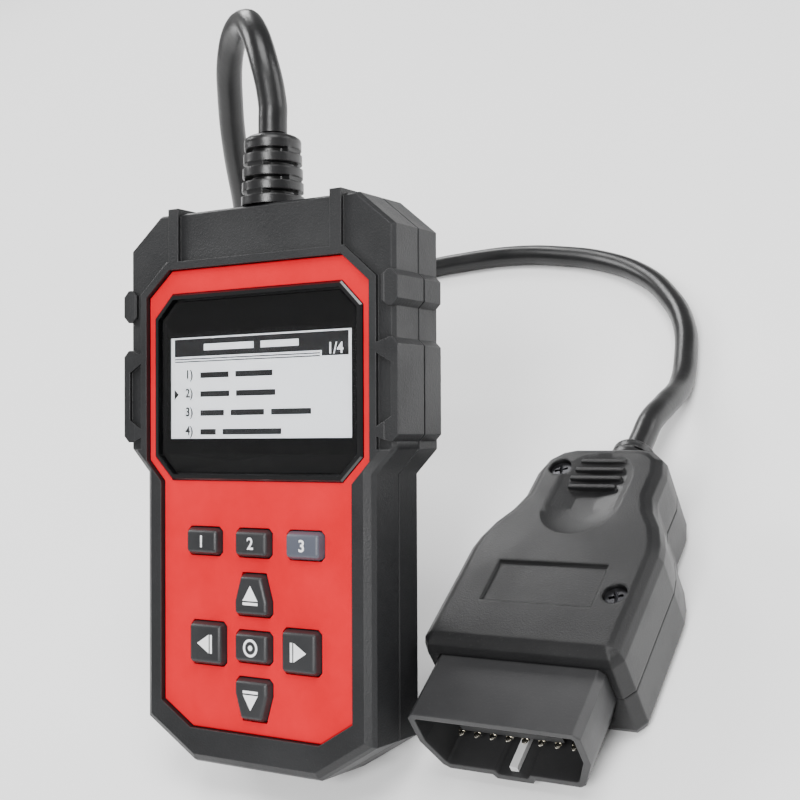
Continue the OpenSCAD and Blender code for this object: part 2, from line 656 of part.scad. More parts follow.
// The cord's route over the floor, from the rest line, in round numbers. Its
// first and last runs follow the two strain reliefs.
function handset_point(y, z) = [0, y * sin(lean) - z * cos(lean), rest_z + y * cos(lean) + z * sin(lean)];
axis_up = [0, sin(lean), cos(lean)];
cord_start = handset_point(handset_l + relief_l + 0.02, cord_z);
plug_mid_z = plug_h / 2;
cord_end = [plug_x, shroud_l + plug_l + plug_relief_l + 0.02 - plug_front, plug_mid_z];
route = [[-3, 93, 130], [-8, 100, 134], [-14, 106, 134], [-21, 110, 131], [-28, 112, 124], [-34, 113, 114],
    [-41, 114, 99], [-47, 115, 83], [-53, 115, 67], [-58, 116, 50], [-63, 118, 34], [-69, 122, 20],
    [-77, 128, 10], [-86, 138, 4.4], [-92, 151, 3.4], [-94, 165, 3.4], [-90, 180, 3.4], [-79, 193, 3.4],
    [-63, 201, 3.4], [-44, 205, 3.4], [-25, 206, 3.4], [-7, 203, 3.4], [11, 197, 3.4], [27, 187, 3.4],
    [39, 174, 3.4], [48, 159, 3.4], [53, 143, 3.4], [56, 128, 4.6], [57, 114, 9.4]];
path = concat([cord_start, cord_start + 4 * axis_up, cord_start + 9 * axis_up], route,
    [cord_end + [0, 12, 0], cord_end + [0, 6, 0], cord_end]);
function tangent(i) = i == 0 ? unit(path[1] - path[0]) : i == len(path) - 1 ? unit(path[i] - path[i - 1])
    : unit(unit(path[i + 1] - path[i]) + unit(path[i] - path[i - 1]));
function sides_of(i, n) = i >= len(path) ? [] : let (t = tangent(i), m = unit(n - t * (n * t)))
    concat([m], sides_of(i + 1, m));
cord_sides = 10;
module cord() {
    first = sides_of(0, [1, 0, 0]);
    points = [for (i = [0 : len(path) - 1]) let (t = tangent(i), a = first[i], b = cross(t, a))
        for (k = [0 : cord_sides - 1]) path[i] + [0, rest_y, 0]
            + cord_d / 2 * (cos(360 * k / cord_sides) * a + sin(360 * k / cord_sides) * b)];
    m = len(path);
    n = cord_sides;
    skin = [for (j = [0 : m - 2]) for (i = [0 : n - 1]) let (k = (i + 1) % n)
        each [[j * n + i, (j + 1) * n + k, (j + 1) * n + i], [j * n + i, j * n + k, (j + 1) * n + k]]];
    color([0.05, 0.05, 0.05]) polyhedron(points, concat([[for (i = [n - 1 : -1 : 0]) i]], skin,
        [[for (i = [0 : n - 1]) (m - 1) * n + i]]));
}

// Plug body in plan, from the mating end to the cord end.
body_y = shroud_l;
body_end = shroud_l + plug_l;
half_w = plug_w / 2;
half_r = plug_rear_w / 2;
step_w = half_w - half_r;
side_points = [[half_w - 1.9, 0], [half_w, 2.5], [half_w, plug_l * 0.46], [half_w - 0.1 * step_w, plug_l * 0.52],
    [half_r + 0.62 * step_w, plug_l * 0.6], [half_r + 0.22 * step_w, plug_l * 0.67], [half_r, plug_l * 0.74],
    [half_r, plug_l * 0.86], [half_r - 1.4, plug_l * 0.94], [half_r - 4.6, plug_l * 0.985], [half_r - 8, plug_l]];
body = concat([for (p = side_points) [p[0], p[1] + body_y]],
    [for (i = [len(side_points) - 1 : -1 : 0]) [-side_points[i][0], side_points[i][1] + body_y]]);
plug_seam = 0.25;
plug_post_r = plug_screw_head_r + 1.1;
plug_screw_at = [[-(half_r - 6.6), body_end - 8.4], [half_w - 6.2, body_y + 17.5]];

// D outline of the shroud in the XZ plane, wide side up, with a keyway hump.
function shroud_outline(hw, hn, h) = [[-hn + 1, -h / 2], [-5, -h / 2], [-4.2, -h / 2 - 1.2], [4.2, -h / 2 - 1.2],
    [5, -h / 2], [hn - 1, -h / 2], [hn + 0.4, -h / 2 + 1], [hw, h / 2 - 9], [hw, h / 2 - 1.4], [hw - 1.4, h / 2],
    [-hw + 1.4, h / 2], [-hw, h / 2 - 1.4], [-hw, h / 2 - 9], [-hn - 0.4, -h / 2 + 1]];
dee = shroud_outline(shroud_w / 2, shroud_narrow_w / 2, shroud_h);
collar = [for (i = [0 : len(dee) - 1]) if (i < 1 || i > 4) dee[i]];
// Extrudes an XZ outline from y0 to y1 at the plug's mid height.
module along_y(p, y0, y1) {
    translate([0, y1, plug_mid_z]) rotate([90, 0, 0]) linear_extrude(y1 - y0) polygon(p);
}
collar_y = body_y + 2.6;
collar_lip = 1.2;
module plug_shroud() {
    color([0.09, 0.09, 0.095]) on_plug() difference() {
        union() {
            along_y(dee, 0, collar_y + 1.6);
            along_y(inset(collar, -collar_lip), collar_y, collar_y + 1.6);
        }
        along_y(inset(dee, shroud_wall), -1, collar_y + 4);
    }
}
divider_w = shroud_narrow_w - 8.5;
module plug_block() {
    color([0.13, 0.13, 0.135]) on_plug() difference() {
        union() {
            along_y(inset(dee, shroud_wall + 0.15), block_drop, collar_y + 1.6);
            translate([-divider_w / 2, pin_drop, plug_mid_z - divider_t])
                cube([divider_w, block_drop - pin_drop + eps, divider_t]);
        }
        for (p = contact_spots()) translate([p[0] - pin_w / 2 - 0.1, block_drop - 1, p[1] - pin_t / 2 - 0.1])
            cube([pin_w + 0.2, 20, pin_t + 0.2]);
    }
}
function contact_spots() = [for (i = [0 : 7]) for (s = [-1, 1]) [(i - 3.5) * pin_pitch * (s < 0 ? 0.95 : 1),
    plug_mid_z + s * pin_rows / 2]];
module plug_contacts() {
    color([0.83, 0.72, 0.45]) on_plug() for (p = contact_spots()) translate([p[0], 0, p[1]]) union() {
        translate([-pin_w / 2, pin_drop + 1, -pin_t / 2]) cube([pin_w, board_at - pin_drop - 1, pin_t]);
        translate([-pin_w / 4, pin_drop, -pin_t / 4]) cube([pin_w / 2, 1 + eps, pin_t / 2]);
    }
}
// Guide bar: from the block towards the mouth, just over the keyway.
module plug_key_bar() {
    foot = plug_mid_z - shroud_h / 2 - 1.2 + shroud_wall + 0.15;
    color([0.8, 0.8, 0.8]) on_plug() translate([-guide_w / 2, 1.2, foot]) cube([guide_w, block_drop - 1.2, guide_t]);
}
board_at = collar_y + 5;
module plug_board() {
    color([0.06, 0.3, 0.16]) on_plug() translate([-17, board_at, plug_mid_z - 5.6]) cube([34, 1.6, 11.2]);
}
wire_end = body_end - plug_wall - 4.2;
module plug_wires() {
    for (i = [0 : 3]) color([[0.7, 0.1, 0.1], [0.1, 0.1, 0.1], [0.1, 0.45, 0.15], [0.75, 0.65, 0.1]][i])
        on_plug() translate([(i - 1.5) * 1.5, board_at + 1.6, plug_mid_z]) rotate([-90, 0, 0])
            cylinder(r = 0.65, h = wire_end - board_at - 1.6, $fn = 16);
}
plug_relief_neck = 4.4;
module plug_relief() {
    color([0.1, 0.1, 0.1]) on_plug() translate([0, body_end, plug_mid_z]) rotate([-90, 0, 0]) union() {
        translate([0, 0, 0.3]) slotted_relief(plug_relief_l - 0.3, 6.6, 5.2, plug_relief_neck - 0.4, 3, 1, 4);
        translate([0, 0, -plug_wall - 0.3 - eps]) cylinder(r = plug_relief_neck, h = plug_wall + 1, $fn = fine);
        translate([0, 0, -plug_wall - 4.2]) cylinder(r = plug_relief_neck + 2, h = 3.9, $fn = fine);
    }
}
// Half of the plug's body, hollow, open at the seam.
module shell_common(up) {
    hollow = inset(body, plug_wall);
    difference() {
        if (up) loft([[inset(body, plug_seam), plug_mid_z], [body, plug_mid_z + plug_seam], [body, plug_h - 3.4],
            [inset(body, 0.7), plug_h - 1.5], [inset(body, 2.2), plug_h - 0.35], [inset(body, 3.2), plug_h]]);
        else loft([[inset(body, 2.4), 0], [inset(body, 0.7), 1.2], [body, 2.8], [body, plug_mid_z - plug_seam],
            [inset(body, plug_seam), plug_mid_z]]);
        difference() {
            slab(hollow, up ? plug_mid_z - 1 : plug_wall, up ? plug_h - plug_wall : plug_mid_z + 1);
            for (p = plug_screw_at) peg(plug_post_r, 0, plug_h, p);
        }
        // Way for the shroud, its collar and the cord.
        along_y(inset(dee, -0.15), body_y - 1, body_y + plug_wall + 1);
        translate([0, body_end - plug_wall - 1, plug_mid_z]) rotate([-90, 0, 0])
            cylinder(r = plug_relief_neck + 0.15, h = plug_wall + 3, $fn = fine);
    }
}
dish_y = body_y + plug_l * 0.74;
dish_d = 1.5;
dish_r = 34;
module plug_top_shell() {
    color([0.13, 0.13, 0.135]) on_plug() difference() {
        union() {
            difference() {
                shell_common(true);
                hull() for (e = [-1, 1]) translate([0, dish_y + e * 4.5, plug_h - dish_d + dish_r]) sphere(r = dish_r, $fn = 40);
            }
            for (i = [0 : 3]) block([13 - abs(i - 1.2), 1.1, dish_d + 0.3], [0.6, dish_y + 2 + i * 3, plug_h - dish_d - 0.2]);
        }
        for (p = plug_screw_at) {
            peg(plug_screw_head_r + 0.25, plug_h - 2.6, plug_h + 5, p);
            peg(screw_r + 0.3, plug_mid_z - 1, plug_h, p);
        }
        block([26.5, 12.4, 2], [0, body_y + 19.5, plug_h - 0.6]);
    }
}
module plug_bottom_shell() {
    color([0.12, 0.12, 0.125]) on_plug() difference() {
        shell_common(false);
        for (p = plug_screw_at) peg(screw_r + 0.05, 3, plug_mid_z + 1, p);
    }
}
module plug_screws() {
    color([0.22, 0.22, 0.23]) on_plug() for (p = plug_screw_at) difference() {
        union() {
            peg(plug_screw_head_r, plug_h - 2.6, plug_h - 1, p);
            peg(screw_r, 3.6, plug_h - 2.5, p);
        }
        for (a = [0, 90]) translate([p[0], p[1], 0]) rotate(a + 20) block([3.3, 0.75, 2], [0, 0, plug_h - 1.9]);
    }
}

front_cover();
back_cover();
faceplate();
window_bezel();
window_lens();
window_mask();
lcd_glass();
lcd_backlight();
lcd_tray();
lcd_ribbon();
main_board();
processor();
interface_chips();
small_parts();
buzzer();
key_switches();
key_membrane();
key_one();
key_two();
key_three();
key_up_arrow();
key_left_arrow();
key_centre();
key_right_arrow();
key_down_arrow();
case_screws();
board_screws();
cord_header();
lead_wires();
cord_tail();
strain_relief();
cord();
plug_relief();
plug_top_shell();
plug_bottom_shell();
plug_shroud();
plug_block();
plug_contacts();
plug_key_bar();
plug_board();
plug_wires();
plug_screws();
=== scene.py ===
import math

import bmesh
import bpy
from mathutils import Matrix, Vector


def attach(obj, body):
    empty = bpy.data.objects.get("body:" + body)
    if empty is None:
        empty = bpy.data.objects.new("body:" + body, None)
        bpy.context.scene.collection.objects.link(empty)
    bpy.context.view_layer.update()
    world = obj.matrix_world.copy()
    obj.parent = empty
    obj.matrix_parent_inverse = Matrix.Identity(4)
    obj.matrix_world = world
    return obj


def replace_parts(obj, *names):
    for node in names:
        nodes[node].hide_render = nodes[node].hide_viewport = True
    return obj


mm = 0.001
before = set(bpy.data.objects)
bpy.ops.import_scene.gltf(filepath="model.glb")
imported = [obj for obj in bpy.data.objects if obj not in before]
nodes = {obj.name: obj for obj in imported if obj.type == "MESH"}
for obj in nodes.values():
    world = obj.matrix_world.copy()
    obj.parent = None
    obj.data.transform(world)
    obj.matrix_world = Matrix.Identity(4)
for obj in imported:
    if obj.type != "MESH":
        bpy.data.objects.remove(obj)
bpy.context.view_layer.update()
print("stage: frame loaded,", len(nodes), "nodes")

# The handset leans back on its lower edge. Its own frame has x across, y along it from
# the lower end and z out of its face from the back plane. Sizes here are millimetres.
stance = {"lean": 40.0, "restY": -35.1211, "restZ": -2.5712, "plugX": 57.0, "plugFront": 3.0}
handsetMatrix = (Matrix.Translation((0, stance["restY"] * mm, stance["restZ"] * mm))
                 @ Matrix.Rotation(math.radians(90 - stance["lean"]), 4, "X"))
plugMatrix = Matrix.Translation((stance["plugX"] * mm, (stance["restY"] - stance["plugFront"]) * mm, 0))


def addObject(name, data):
    obj = bpy.data.objects.new(name, data)
    bpy.context.scene.collection.objects.link(obj)
    return obj


def evaluatedMesh(obj):
    graph = bpy.context.evaluated_depsgraph_get()
    return bpy.data.meshes.new_from_object(obj.evaluated_get(graph), depsgraph=graph)


# Camera at the photograph's angle, a little further out so that the whole cord shows.
photoCamera = {
    "place": (0.1860, -0.1806, 0.2146),
    "right": (0.8419, 0.4109, -0.3500),
    "up": (0.0104, 0.6360, 0.7716),
    "lens": 59.5,
    "shift": 0.031,
}
cameraData = bpy.data.cameras.new("photoCamera")
cameraData.lens = photoCamera["lens"]
cameraData.sensor_width = 36
cameraData.shift_y = photoCamera["shift"]
cameraData.clip_start = 0.01
cameraData.clip_end = 20
cameraObject = addObject("photoCamera", cameraData)
rightAxis = Vector(photoCamera["right"]).normalized()
backAxis = rightAxis.cross(Vector(photoCamera["up"])).normalized()
upAxis = backAxis.cross(rightAxis)
turn = Matrix((rightAxis, upAxis, backAxis)).transposed().to_4x4()
cameraObject.matrix_world = Matrix.Translation(photoCamera["place"]) @ turn
bpy.context.scene.camera = cameraObject
print("stage: camera")


# Effects that several materials share: each puts out values over the surface.
def effectGroup(name, inputs, outputs):
    tree = bpy.data.node_groups.new(name, "ShaderNodeTree")
    for label, kind, value in inputs:
        socket = tree.interface.new_socket(name=label, in_out="INPUT", socket_type=kind)
        if value is not None:
            socket.default_value = value
    for label in outputs:
        tree.interface.new_socket(name=label, in_out="OUTPUT", socket_type="NodeSocketFloat")
    return tree, tree.nodes.new("NodeGroupInput"), tree.nodes.new("NodeGroupOutput")


def mathNode(tree, operation, first, second=None, third=None):
    node = tree.nodes.new("ShaderNodeMath")
    node.operation = operation
    for i, value in enumerate((first, second, third)):
        if isinstance(value, bpy.types.NodeSocket):
            tree.links.new(value, node.inputs[i])
        elif value is not None:
            node.inputs[i].default_value = value
    return node.outputs[0]


def noiseNode(tree, vector, scale, detail=3.0, roughness=0.55):
    node = tree.nodes.new("ShaderNodeTexNoise")
    tree.links.new(vector, node.inputs["Vector"])
    if isinstance(scale, bpy.types.NodeSocket):
        tree.links.new(scale, node.inputs["Scale"])
    else:
        node.inputs["Scale"].default_value = scale
    node.inputs["Detail"].default_value = detail
    node.inputs["Roughness"].default_value = roughness
    return node.outputs["Fac"]


def rangeNode(tree, value, low, high, toLow, toHigh):
    node = tree.nodes.new("ShaderNodeMapRange")
    items = {"Value": value, "From Min": low, "From Max": high, "To Min": toLow, "To Max": toHigh}
    for label, item in items.items():
        if isinstance(item, bpy.types.NodeSocket):
            tree.links.new(item, node.inputs[label])
        else:
            node.inputs[label].default_value = item
    return node.outputs["Result"]


# Spark-eroded grain of moulded plastic: a fine pebble over a finer noise.
def makeGrain():
    tree, source, target = effectGroup("mouldedGrain", [("Vector", "NodeSocketVector", None),
                                       ("Size", "NodeSocketFloat", 0.0004)], ["Height", "Mottle"])
    scale = mathNode(tree, "DIVIDE", 1.0, source.outputs["Size"])
    pebble = tree.nodes.new("ShaderNodeTexVoronoi")
    pebble.feature = "SMOOTH_F1"
    tree.links.new(source.outputs["Vector"], pebble.inputs["Vector"])
    tree.links.new(scale, pebble.inputs["Scale"])
    fine = noiseNode(tree, source.outputs["Vector"], mathNode(tree, "MULTIPLY", scale, 1.7), 4.0, 0.65)
    finer = mathNode(tree, "MULTIPLY", fine, 0.6)
    height = mathNode(tree, "MULTIPLY_ADD", pebble.outputs["Distance"], 0.6, finer)
    tree.links.new(height, target.inputs["Height"])
    cloud = noiseNode(tree, source.outputs["Vector"], 55.0, 5.0, 0.6)
    tree.links.new(rangeNode(tree, cloud, 0.35, 0.65, 0.0, 1.0), target.inputs["Mottle"])
    return tree


# Marks of use: dull smudges from hands, and dust that lies on what faces upwards.
def makeHandling():
    tree, source, target = effectGroup("handling", [("Vector", "NodeSocketVector", None),
                                       ("Dust", "NodeSocketFloat", 0.3)], ["Smudge", "Dust"])
    broad = noiseNode(tree, source.outputs["Vector"], 70.0, 2.0, 0.5)
    streak = noiseNode(tree, source.outputs["Vector"], 420.0, 6.0, 0.7)
    both = mathNode(tree, "MULTIPLY_ADD", streak, 0.35, broad)
    tree.links.new(rangeNode(tree, both, 0.55, 0.85, 0.0, 1.0), target.inputs["Smudge"])
    speck = noiseNode(tree, source.outputs["Vector"], 2600.0, 2.0, 0.5)
    few = rangeNode(tree, speck, 0.66, 0.72, 0.0, 1.0)
    facing = tree.nodes.new("ShaderNodeNewGeometry")
    split = tree.nodes.new("ShaderNodeSeparateXYZ")
    tree.links.new(facing.outputs["Normal"], split.inputs["Vector"])
    upward = rangeNode(tree, split.outputs["Z"], 0.2, 0.95, 0.0, 1.0)
    dust = mathNode(tree, "MULTIPLY", mathNode(tree, "MULTIPLY", few, upward), source.outputs["Dust"])
    tree.links.new(dust, target.inputs["Dust"])
    return tree


# Light wear and a painted highlight along rubbed edges: how far the rounded normal turns from
# the flat one. The rounded normal goes out too, so that the material's bump starts from it.
def makeEdgeWearAndHighlight():
    tree, source, target = effectGroup("edgeWearAndHighlight", [("Vector", "NodeSocketVector", None),
                                       ("Radius", "NodeSocketFloat", 0.0005)], ["Mask"])
    tree.interface.new_socket(name="Normal", in_out="OUTPUT", socket_type="NodeSocketVector")
    rounded = tree.nodes.new("ShaderNodeBevel")
    rounded.samples = 4
    tree.links.new(source.outputs["Radius"], rounded.inputs["Radius"])
    facing = tree.nodes.new("ShaderNodeNewGeometry")
    dot = tree.nodes.new("ShaderNodeVectorMath")
    dot.operation = "DOT_PRODUCT"
    tree.links.new(rounded.outputs["Normal"], dot.inputs[0])
    tree.links.new(facing.outputs["Normal"], dot.inputs[1])
    # The edge mask lightens the colour: a painted highlight, patchy like light wear.
    edge = rangeNode(tree, dot.outputs["Value"], 0.99, 0.86, 0.0, 1.0)
    cloud = noiseNode(tree, source.outputs["Vector"], 900.0, 4.0, 0.7)
    patchy = rangeNode(tree, cloud, 0.35, 0.65, 0.25, 1.0)
    tree.links.new(mathNode(tree, "MULTIPLY", edge, patchy), target.inputs["Mask"])
    tree.links.new(rounded.outputs["Normal"], target.inputs["Normal"])
    return tree


# Shade that gathers in grooves and where two faces meet in a corner.
def makeCrevice():
    tree, source, target = effectGroup("crevice", [("Vector", "NodeSocketVector", None),
                                       ("Reach", "NodeSocketFloat", 0.0012)], ["Mask"])
    near = tree.nodes.new("ShaderNodeAmbientOcclusion")
    near.samples = 6
    near.only_local = True
    tree.links.new(source.outputs["Reach"], near.inputs["Distance"])
    cloud = rangeNode(tree, noiseNode(tree, source.outputs["Vector"], 500.0, 3.0), 0.3, 0.7, 0.7, 1.0)
    closed = rangeNode(tree, near.outputs["AO"], 0.90, 0.50, 0.0, 1.0)
    tree.links.new(mathNode(tree, "MULTIPLY", closed, cloud), target.inputs["Mask"])
    return tree


grainEffect = makeGrain()
creviceEffect = makeCrevice()
handlingEffect = makeHandling()
edgeWearAndHighlightEffect = makeEdgeWearAndHighlight()


def placeEffect(tree, effect, vector, **values):
    node = tree.nodes.new("ShaderNodeGroup")
    node.node_tree = effect
    tree.links.new(vector, node.inputs["Vector"])
    for label, value in values.items():
        node.inputs[label].default_value = value
    return node


def newMaterial(name):
    material = bpy.data.materials.new(name)
    material.use_nodes = True
    tree = material.node_tree
    tree.nodes.clear()
    shader = tree.nodes.new("ShaderNodeBsdfPrincipled")
    output = tree.nodes.new("ShaderNodeOutputMaterial")
    tree.links.new(shader.outputs["BSDF"], output.inputs["Surface"])
    coordinates = tree.nodes.new("ShaderNodeTexCoord")
    return material, tree, shader, coordinates.outputs["Object"]


def colourMix(tree, mask, first, second):
    node = tree.nodes.new("ShaderNodeMix")
    node.data_type = "RGBA"
    tree.links.new(mask, node.inputs["Factor"])
    for socket, value in ((node.inputs[6], first), (node.inputs[7], second)):
        if isinstance(value, bpy.types.NodeSocket):
            tree.links.new(value, socket)
        else:
            socket.default_value = (*value, 1.0)
    return node.outputs[2]


dustColour = (0.20, 0.20, 0.19)
# Near-black colour of the painted shade in grooves and corners.
paintedShadeColour = (0.002, 0.002, 0.002)
reliefShare = 0.3  # depth of the grain as a share of its size


# What plastics and metals share: roughness from the marks of use, and the grain as bump.
def addSurface(tree, shader, look, grain, marks):
    low, high = look["rough"]
    roughness = rangeNode(tree, marks.outputs["Smudge"], 0.0, 1.0, low, high)
    tree.links.new(roughness, shader.inputs["Roughness"])
    bump = tree.nodes.new("ShaderNodeBump")
    bump.inputs["Strength"].default_value = look["grainDepth"]
    bump.inputs["Distance"].default_value = look["grainSize"] * reliefShare * mm
    tree.links.new(grain.outputs["Height"], bump.inputs["Height"])
    tree.links.new(bump.outputs["Normal"], shader.inputs["Normal"])
    return bump


# Moulded plastic, rubber and other dull pieces: every look is one dictionary.
def mouldedPlastic(name, look):
    material, tree, shader, point = newMaterial(name)
    grain = placeEffect(tree, grainEffect, point, Size=look["grainSize"] * mm)
    marks = placeEffect(tree, handlingEffect, point, Dust=look.get("dust", 0.0))
    bump = addSurface(tree, shader, look, grain, marks)
    colour = colourMix(tree, grain.outputs["Mottle"], look["dark"], look["light"])
    # Edges lightened towards the worn colour: light wear and a painted highlight.
    if look.get("wearAndHighlight"):
        wearAndHighlight = placeEffect(tree, edgeWearAndHighlightEffect, point, Radius=look["wearAndHighlightRadius"] * mm)
        mask = mathNode(tree, "MULTIPLY", wearAndHighlight.outputs["Mask"], look["wearAndHighlight"])
        colour = colourMix(tree, mask, colour, look["wornAndHighlight"])
        tree.links.new(wearAndHighlight.outputs["Normal"], bump.inputs["Normal"])
    # Painted shade: grooves and corners darkened by the crevice mask.
    if look.get("crevice"):
        shade = placeEffect(tree, creviceEffect, point, Reach=look.get("creviceReach", 1.2) * mm)
        deep = mathNode(tree, "MULTIPLY", shade.outputs["Mask"], look["crevice"])
        colour = colourMix(tree, deep, colour, paintedShadeColour)
    if look.get("dust"):
        colour = colourMix(tree, marks.outputs["Dust"], colour, dustColour)
    tree.links.new(colour, shader.inputs["Base Color"])
    shader.inputs["Specular IOR Level"].default_value = look.get("specular", 0.5)
    shader.inputs["Coat Weight"].default_value = look.get("coat", 0.0)
    shader.inputs["Coat Roughness"].default_value = look.get("coatRough", 0.1)
    return material


# Plated and plain metals: fine lay marks and a slow change of tone.
def metal(name, look):
    material, tree, shader, point = newMaterial(name)
    grain = placeEffect(tree, grainEffect, point, Size=look["grainSize"] * mm)
    marks = placeEffect(tree, handlingEffect, point, Dust=0.0)
    addSurface(tree, shader, look, grain, marks)
    colour = colourMix(tree, grain.outputs["Mottle"], look["dark"], look["light"])
    tree.links.new(colour, shader.inputs["Base Color"])
    shader.inputs["Metallic"].default_value = 1.0
    return material


# In each look the worn colour is the lighter edge colour: light wear and a painted highlight.
looks = {
    "casingBlack": {"dark": (0.0085, 0.0087, 0.0095), "light": (0.0120, 0.0123, 0.0132),
                    "rough": (0.42, 0.52), "grainSize": 0.42, "grainDepth": 0.5, "dust": 0.10, "wearAndHighlight": 0.35,
                    "wearAndHighlightRadius": 0.32, "wornAndHighlight": (0.075, 0.075, 0.078), "specular": 0.4, "crevice": 0.85,
                    "creviceReach": 1.5},
    "faceplateRed": {"dark": (0.56, 0.0015, 0.010), "light": (0.64, 0.004, 0.015), "rough": (0.44, 0.54),
                     "grainSize": 0.6, "grainDepth": 0.16, "dust": 0.05, "wearAndHighlight": 0.2, "wearAndHighlightRadius": 0.3,
                     "wornAndHighlight": (0.85, 0.06, 0.06), "specular": 0.12},
    "bezelBlack": {"dark": (0.003, 0.003, 0.0035), "light": (0.005, 0.005, 0.0055), "rough": (0.16, 0.24),
                   "grainSize": 0.8, "grainDepth": 0.05, "coat": 0.4, "coatRough": 0.08},
    "maskBlack": {"dark": (0.0015, 0.0015, 0.002), "light": (0.0025, 0.0025, 0.003), "rough": (0.5, 0.6),
                  "grainSize": 0.5, "grainDepth": 0.02, "specular": 0.1},
    "keyBlack": {"dark": (0.013, 0.0135, 0.015), "light": (0.018, 0.0185, 0.020), "rough": (0.40, 0.50),
                 "grainSize": 0.35, "grainDepth": 0.3, "dust": 0.05, "wearAndHighlight": 0.3, "wearAndHighlightRadius": 0.3,
                 "wornAndHighlight": (0.09, 0.09, 0.095)},
    "keyGrey": {"dark": (0.060, 0.066, 0.086), "light": (0.078, 0.085, 0.108), "rough": (0.36, 0.46),
                "grainSize": 0.35, "grainDepth": 0.25, "dust": 0.05, "wearAndHighlight": 0.3, "wearAndHighlightRadius": 0.3,
                "wornAndHighlight": (0.20, 0.22, 0.27)},
    "legendWhite": {"dark": (0.80, 0.81, 0.82), "light": (0.88, 0.89, 0.90), "rough": (0.42, 0.5),
                    "grainSize": 0.2, "grainDepth": 0.1},
    "displayInk": {"dark": (0.004, 0.004, 0.005), "light": (0.007, 0.007, 0.008), "rough": (0.4, 0.5),
                   "grainSize": 0.25, "grainDepth": 0.05},
    "cordBlack": {"dark": (0.003, 0.003, 0.0034), "light": (0.006, 0.006, 0.0064), "rough": (0.30, 0.40),
                  "grainSize": 1.1, "grainDepth": 0.12, "dust": 0.05, "specular": 0.45},
    "reliefBlack": {"dark": (0.007, 0.007, 0.0075), "light": (0.010, 0.010, 0.0105), "rough": (0.28, 0.38),
                    "grainSize": 0.5, "grainDepth": 0.12, "dust": 0.05, "wearAndHighlight": 0.3, "wearAndHighlightRadius": 0.5,
                    "wornAndHighlight": (0.05, 0.05, 0.05), "crevice": 0.8},
    "plugBlack": {"dark": (0.006, 0.006, 0.0065), "light": (0.009, 0.009, 0.0095), "rough": (0.36, 0.46),
                  "grainSize": 0.36, "grainDepth": 0.4, "dust": 0.08, "wearAndHighlight": 0.3, "wearAndHighlightRadius": 0.8,
                  "wornAndHighlight": (0.045, 0.045, 0.045), "specular": 0.36, "crevice": 0.9, "creviceReach": 0.9},
    # The shroud's crevice mask reaches far: painted shade deep inside its mouth.
    "shroudBlack": {"dark": (0.022, 0.022, 0.023), "light": (0.028, 0.028, 0.029), "rough": (0.40, 0.48),
                    "grainSize": 0.5, "grainDepth": 0.1, "dust": 0.05, "wearAndHighlight": 0.35, "wearAndHighlightRadius": 0.5,
                    "wornAndHighlight": (0.08, 0.08, 0.08), "specular": 0.36, "crevice": 0.92, "creviceReach": 9.0},
    "blockBlack": {"dark": (0.004, 0.004, 0.0045), "light": (0.007, 0.007, 0.0075), "rough": (0.35, 0.45),
                   "grainSize": 0.4, "grainDepth": 0.1, "wearAndHighlight": 0.5, "wearAndHighlightRadius": 0.25,
                   "wornAndHighlight": (0.12, 0.12, 0.12)},
    "backlightWhite": {"dark": (0.80, 0.81, 0.83), "light": (0.86, 0.87, 0.88), "rough": (0.5, 0.6),
                       "grainSize": 0.3, "grainDepth": 0.1},
    "ribbonAmber": {"dark": (0.38, 0.17, 0.03), "light": (0.46, 0.23, 0.05), "rough": (0.3, 0.4),
                    "grainSize": 0.3, "grainDepth": 0.1},
    "boardGreen": {"dark": (0.012, 0.11, 0.045), "light": (0.020, 0.16, 0.070), "rough": (0.28, 0.36),
                   "grainSize": 0.8, "grainDepth": 0.2, "coat": 0.3},
    "chipBlack": {"dark": (0.018, 0.018, 0.019), "light": (0.028, 0.028, 0.030), "rough": (0.5, 0.6),
                  "grainSize": 0.2, "grainDepth": 0.3},
    "partsTan": {"dark": (0.42, 0.31, 0.17), "light": (0.55, 0.42, 0.25), "rough": (0.4, 0.5),
                 "grainSize": 0.3, "grainDepth": 0.2},
    "switchGrey": {"dark": (0.36, 0.36, 0.35), "light": (0.46, 0.46, 0.45), "rough": (0.4, 0.5),
                   "grainSize": 0.3, "grainDepth": 0.2},
    "membraneSilicone": {"dark": (0.56, 0.58, 0.60), "light": (0.66, 0.68, 0.70), "rough": (0.5, 0.6),
                         "grainSize": 0.5, "grainDepth": 0.2},
    "barSilver": {"dark": (0.62, 0.62, 0.62), "light": (0.72, 0.72, 0.72), "rough": (0.22, 0.30),
                  "grainSize": 0.3, "grainDepth": 0.1, "coat": 0.5},
    "headerIvory": {"dark": (0.68, 0.64, 0.50), "light": (0.78, 0.75, 0.62), "rough": (0.4, 0.5),
                    "grainSize": 0.4, "grainDepth": 0.15},
    "wireRed": {"dark": (0.40, 0.02, 0.02), "light": (0.50, 0.04, 0.04), "rough": (0.4, 0.5),
                "grainSize": 0.3, "grainDepth": 0.15},
}
metalLooks = {
    "traySteel": {"dark": (0.50, 0.51, 0.52), "light": (0.60, 0.61, 0.62), "rough": (0.3, 0.4),
                  "grainSize": 0.5, "grainDepth": 0.1},
    "screwSteel": {"dark": (0.45, 0.45, 0.47), "light": (0.58, 0.58, 0.60), "rough": (0.28, 0.4),
                   "grainSize": 0.3, "grainDepth": 0.15},
    "screwBlack": {"dark": (0.05, 0.05, 0.055), "light": (0.085, 0.085, 0.09), "rough": (0.3, 0.42),
                   "grainSize": 0.3, "grainDepth": 0.2},
    "contactBrass": {"dark": (0.74, 0.70, 0.60), "light": (0.86, 0.82, 0.72), "rough": (0.18, 0.28),
                     "grainSize": 0.3, "grainDepth": 0.1},
}
materials = {name: mouldedPlastic(name, look) for name, look in looks.items()}
materials.update({name: metal(name, look) for name, look in metalLooks.items()})


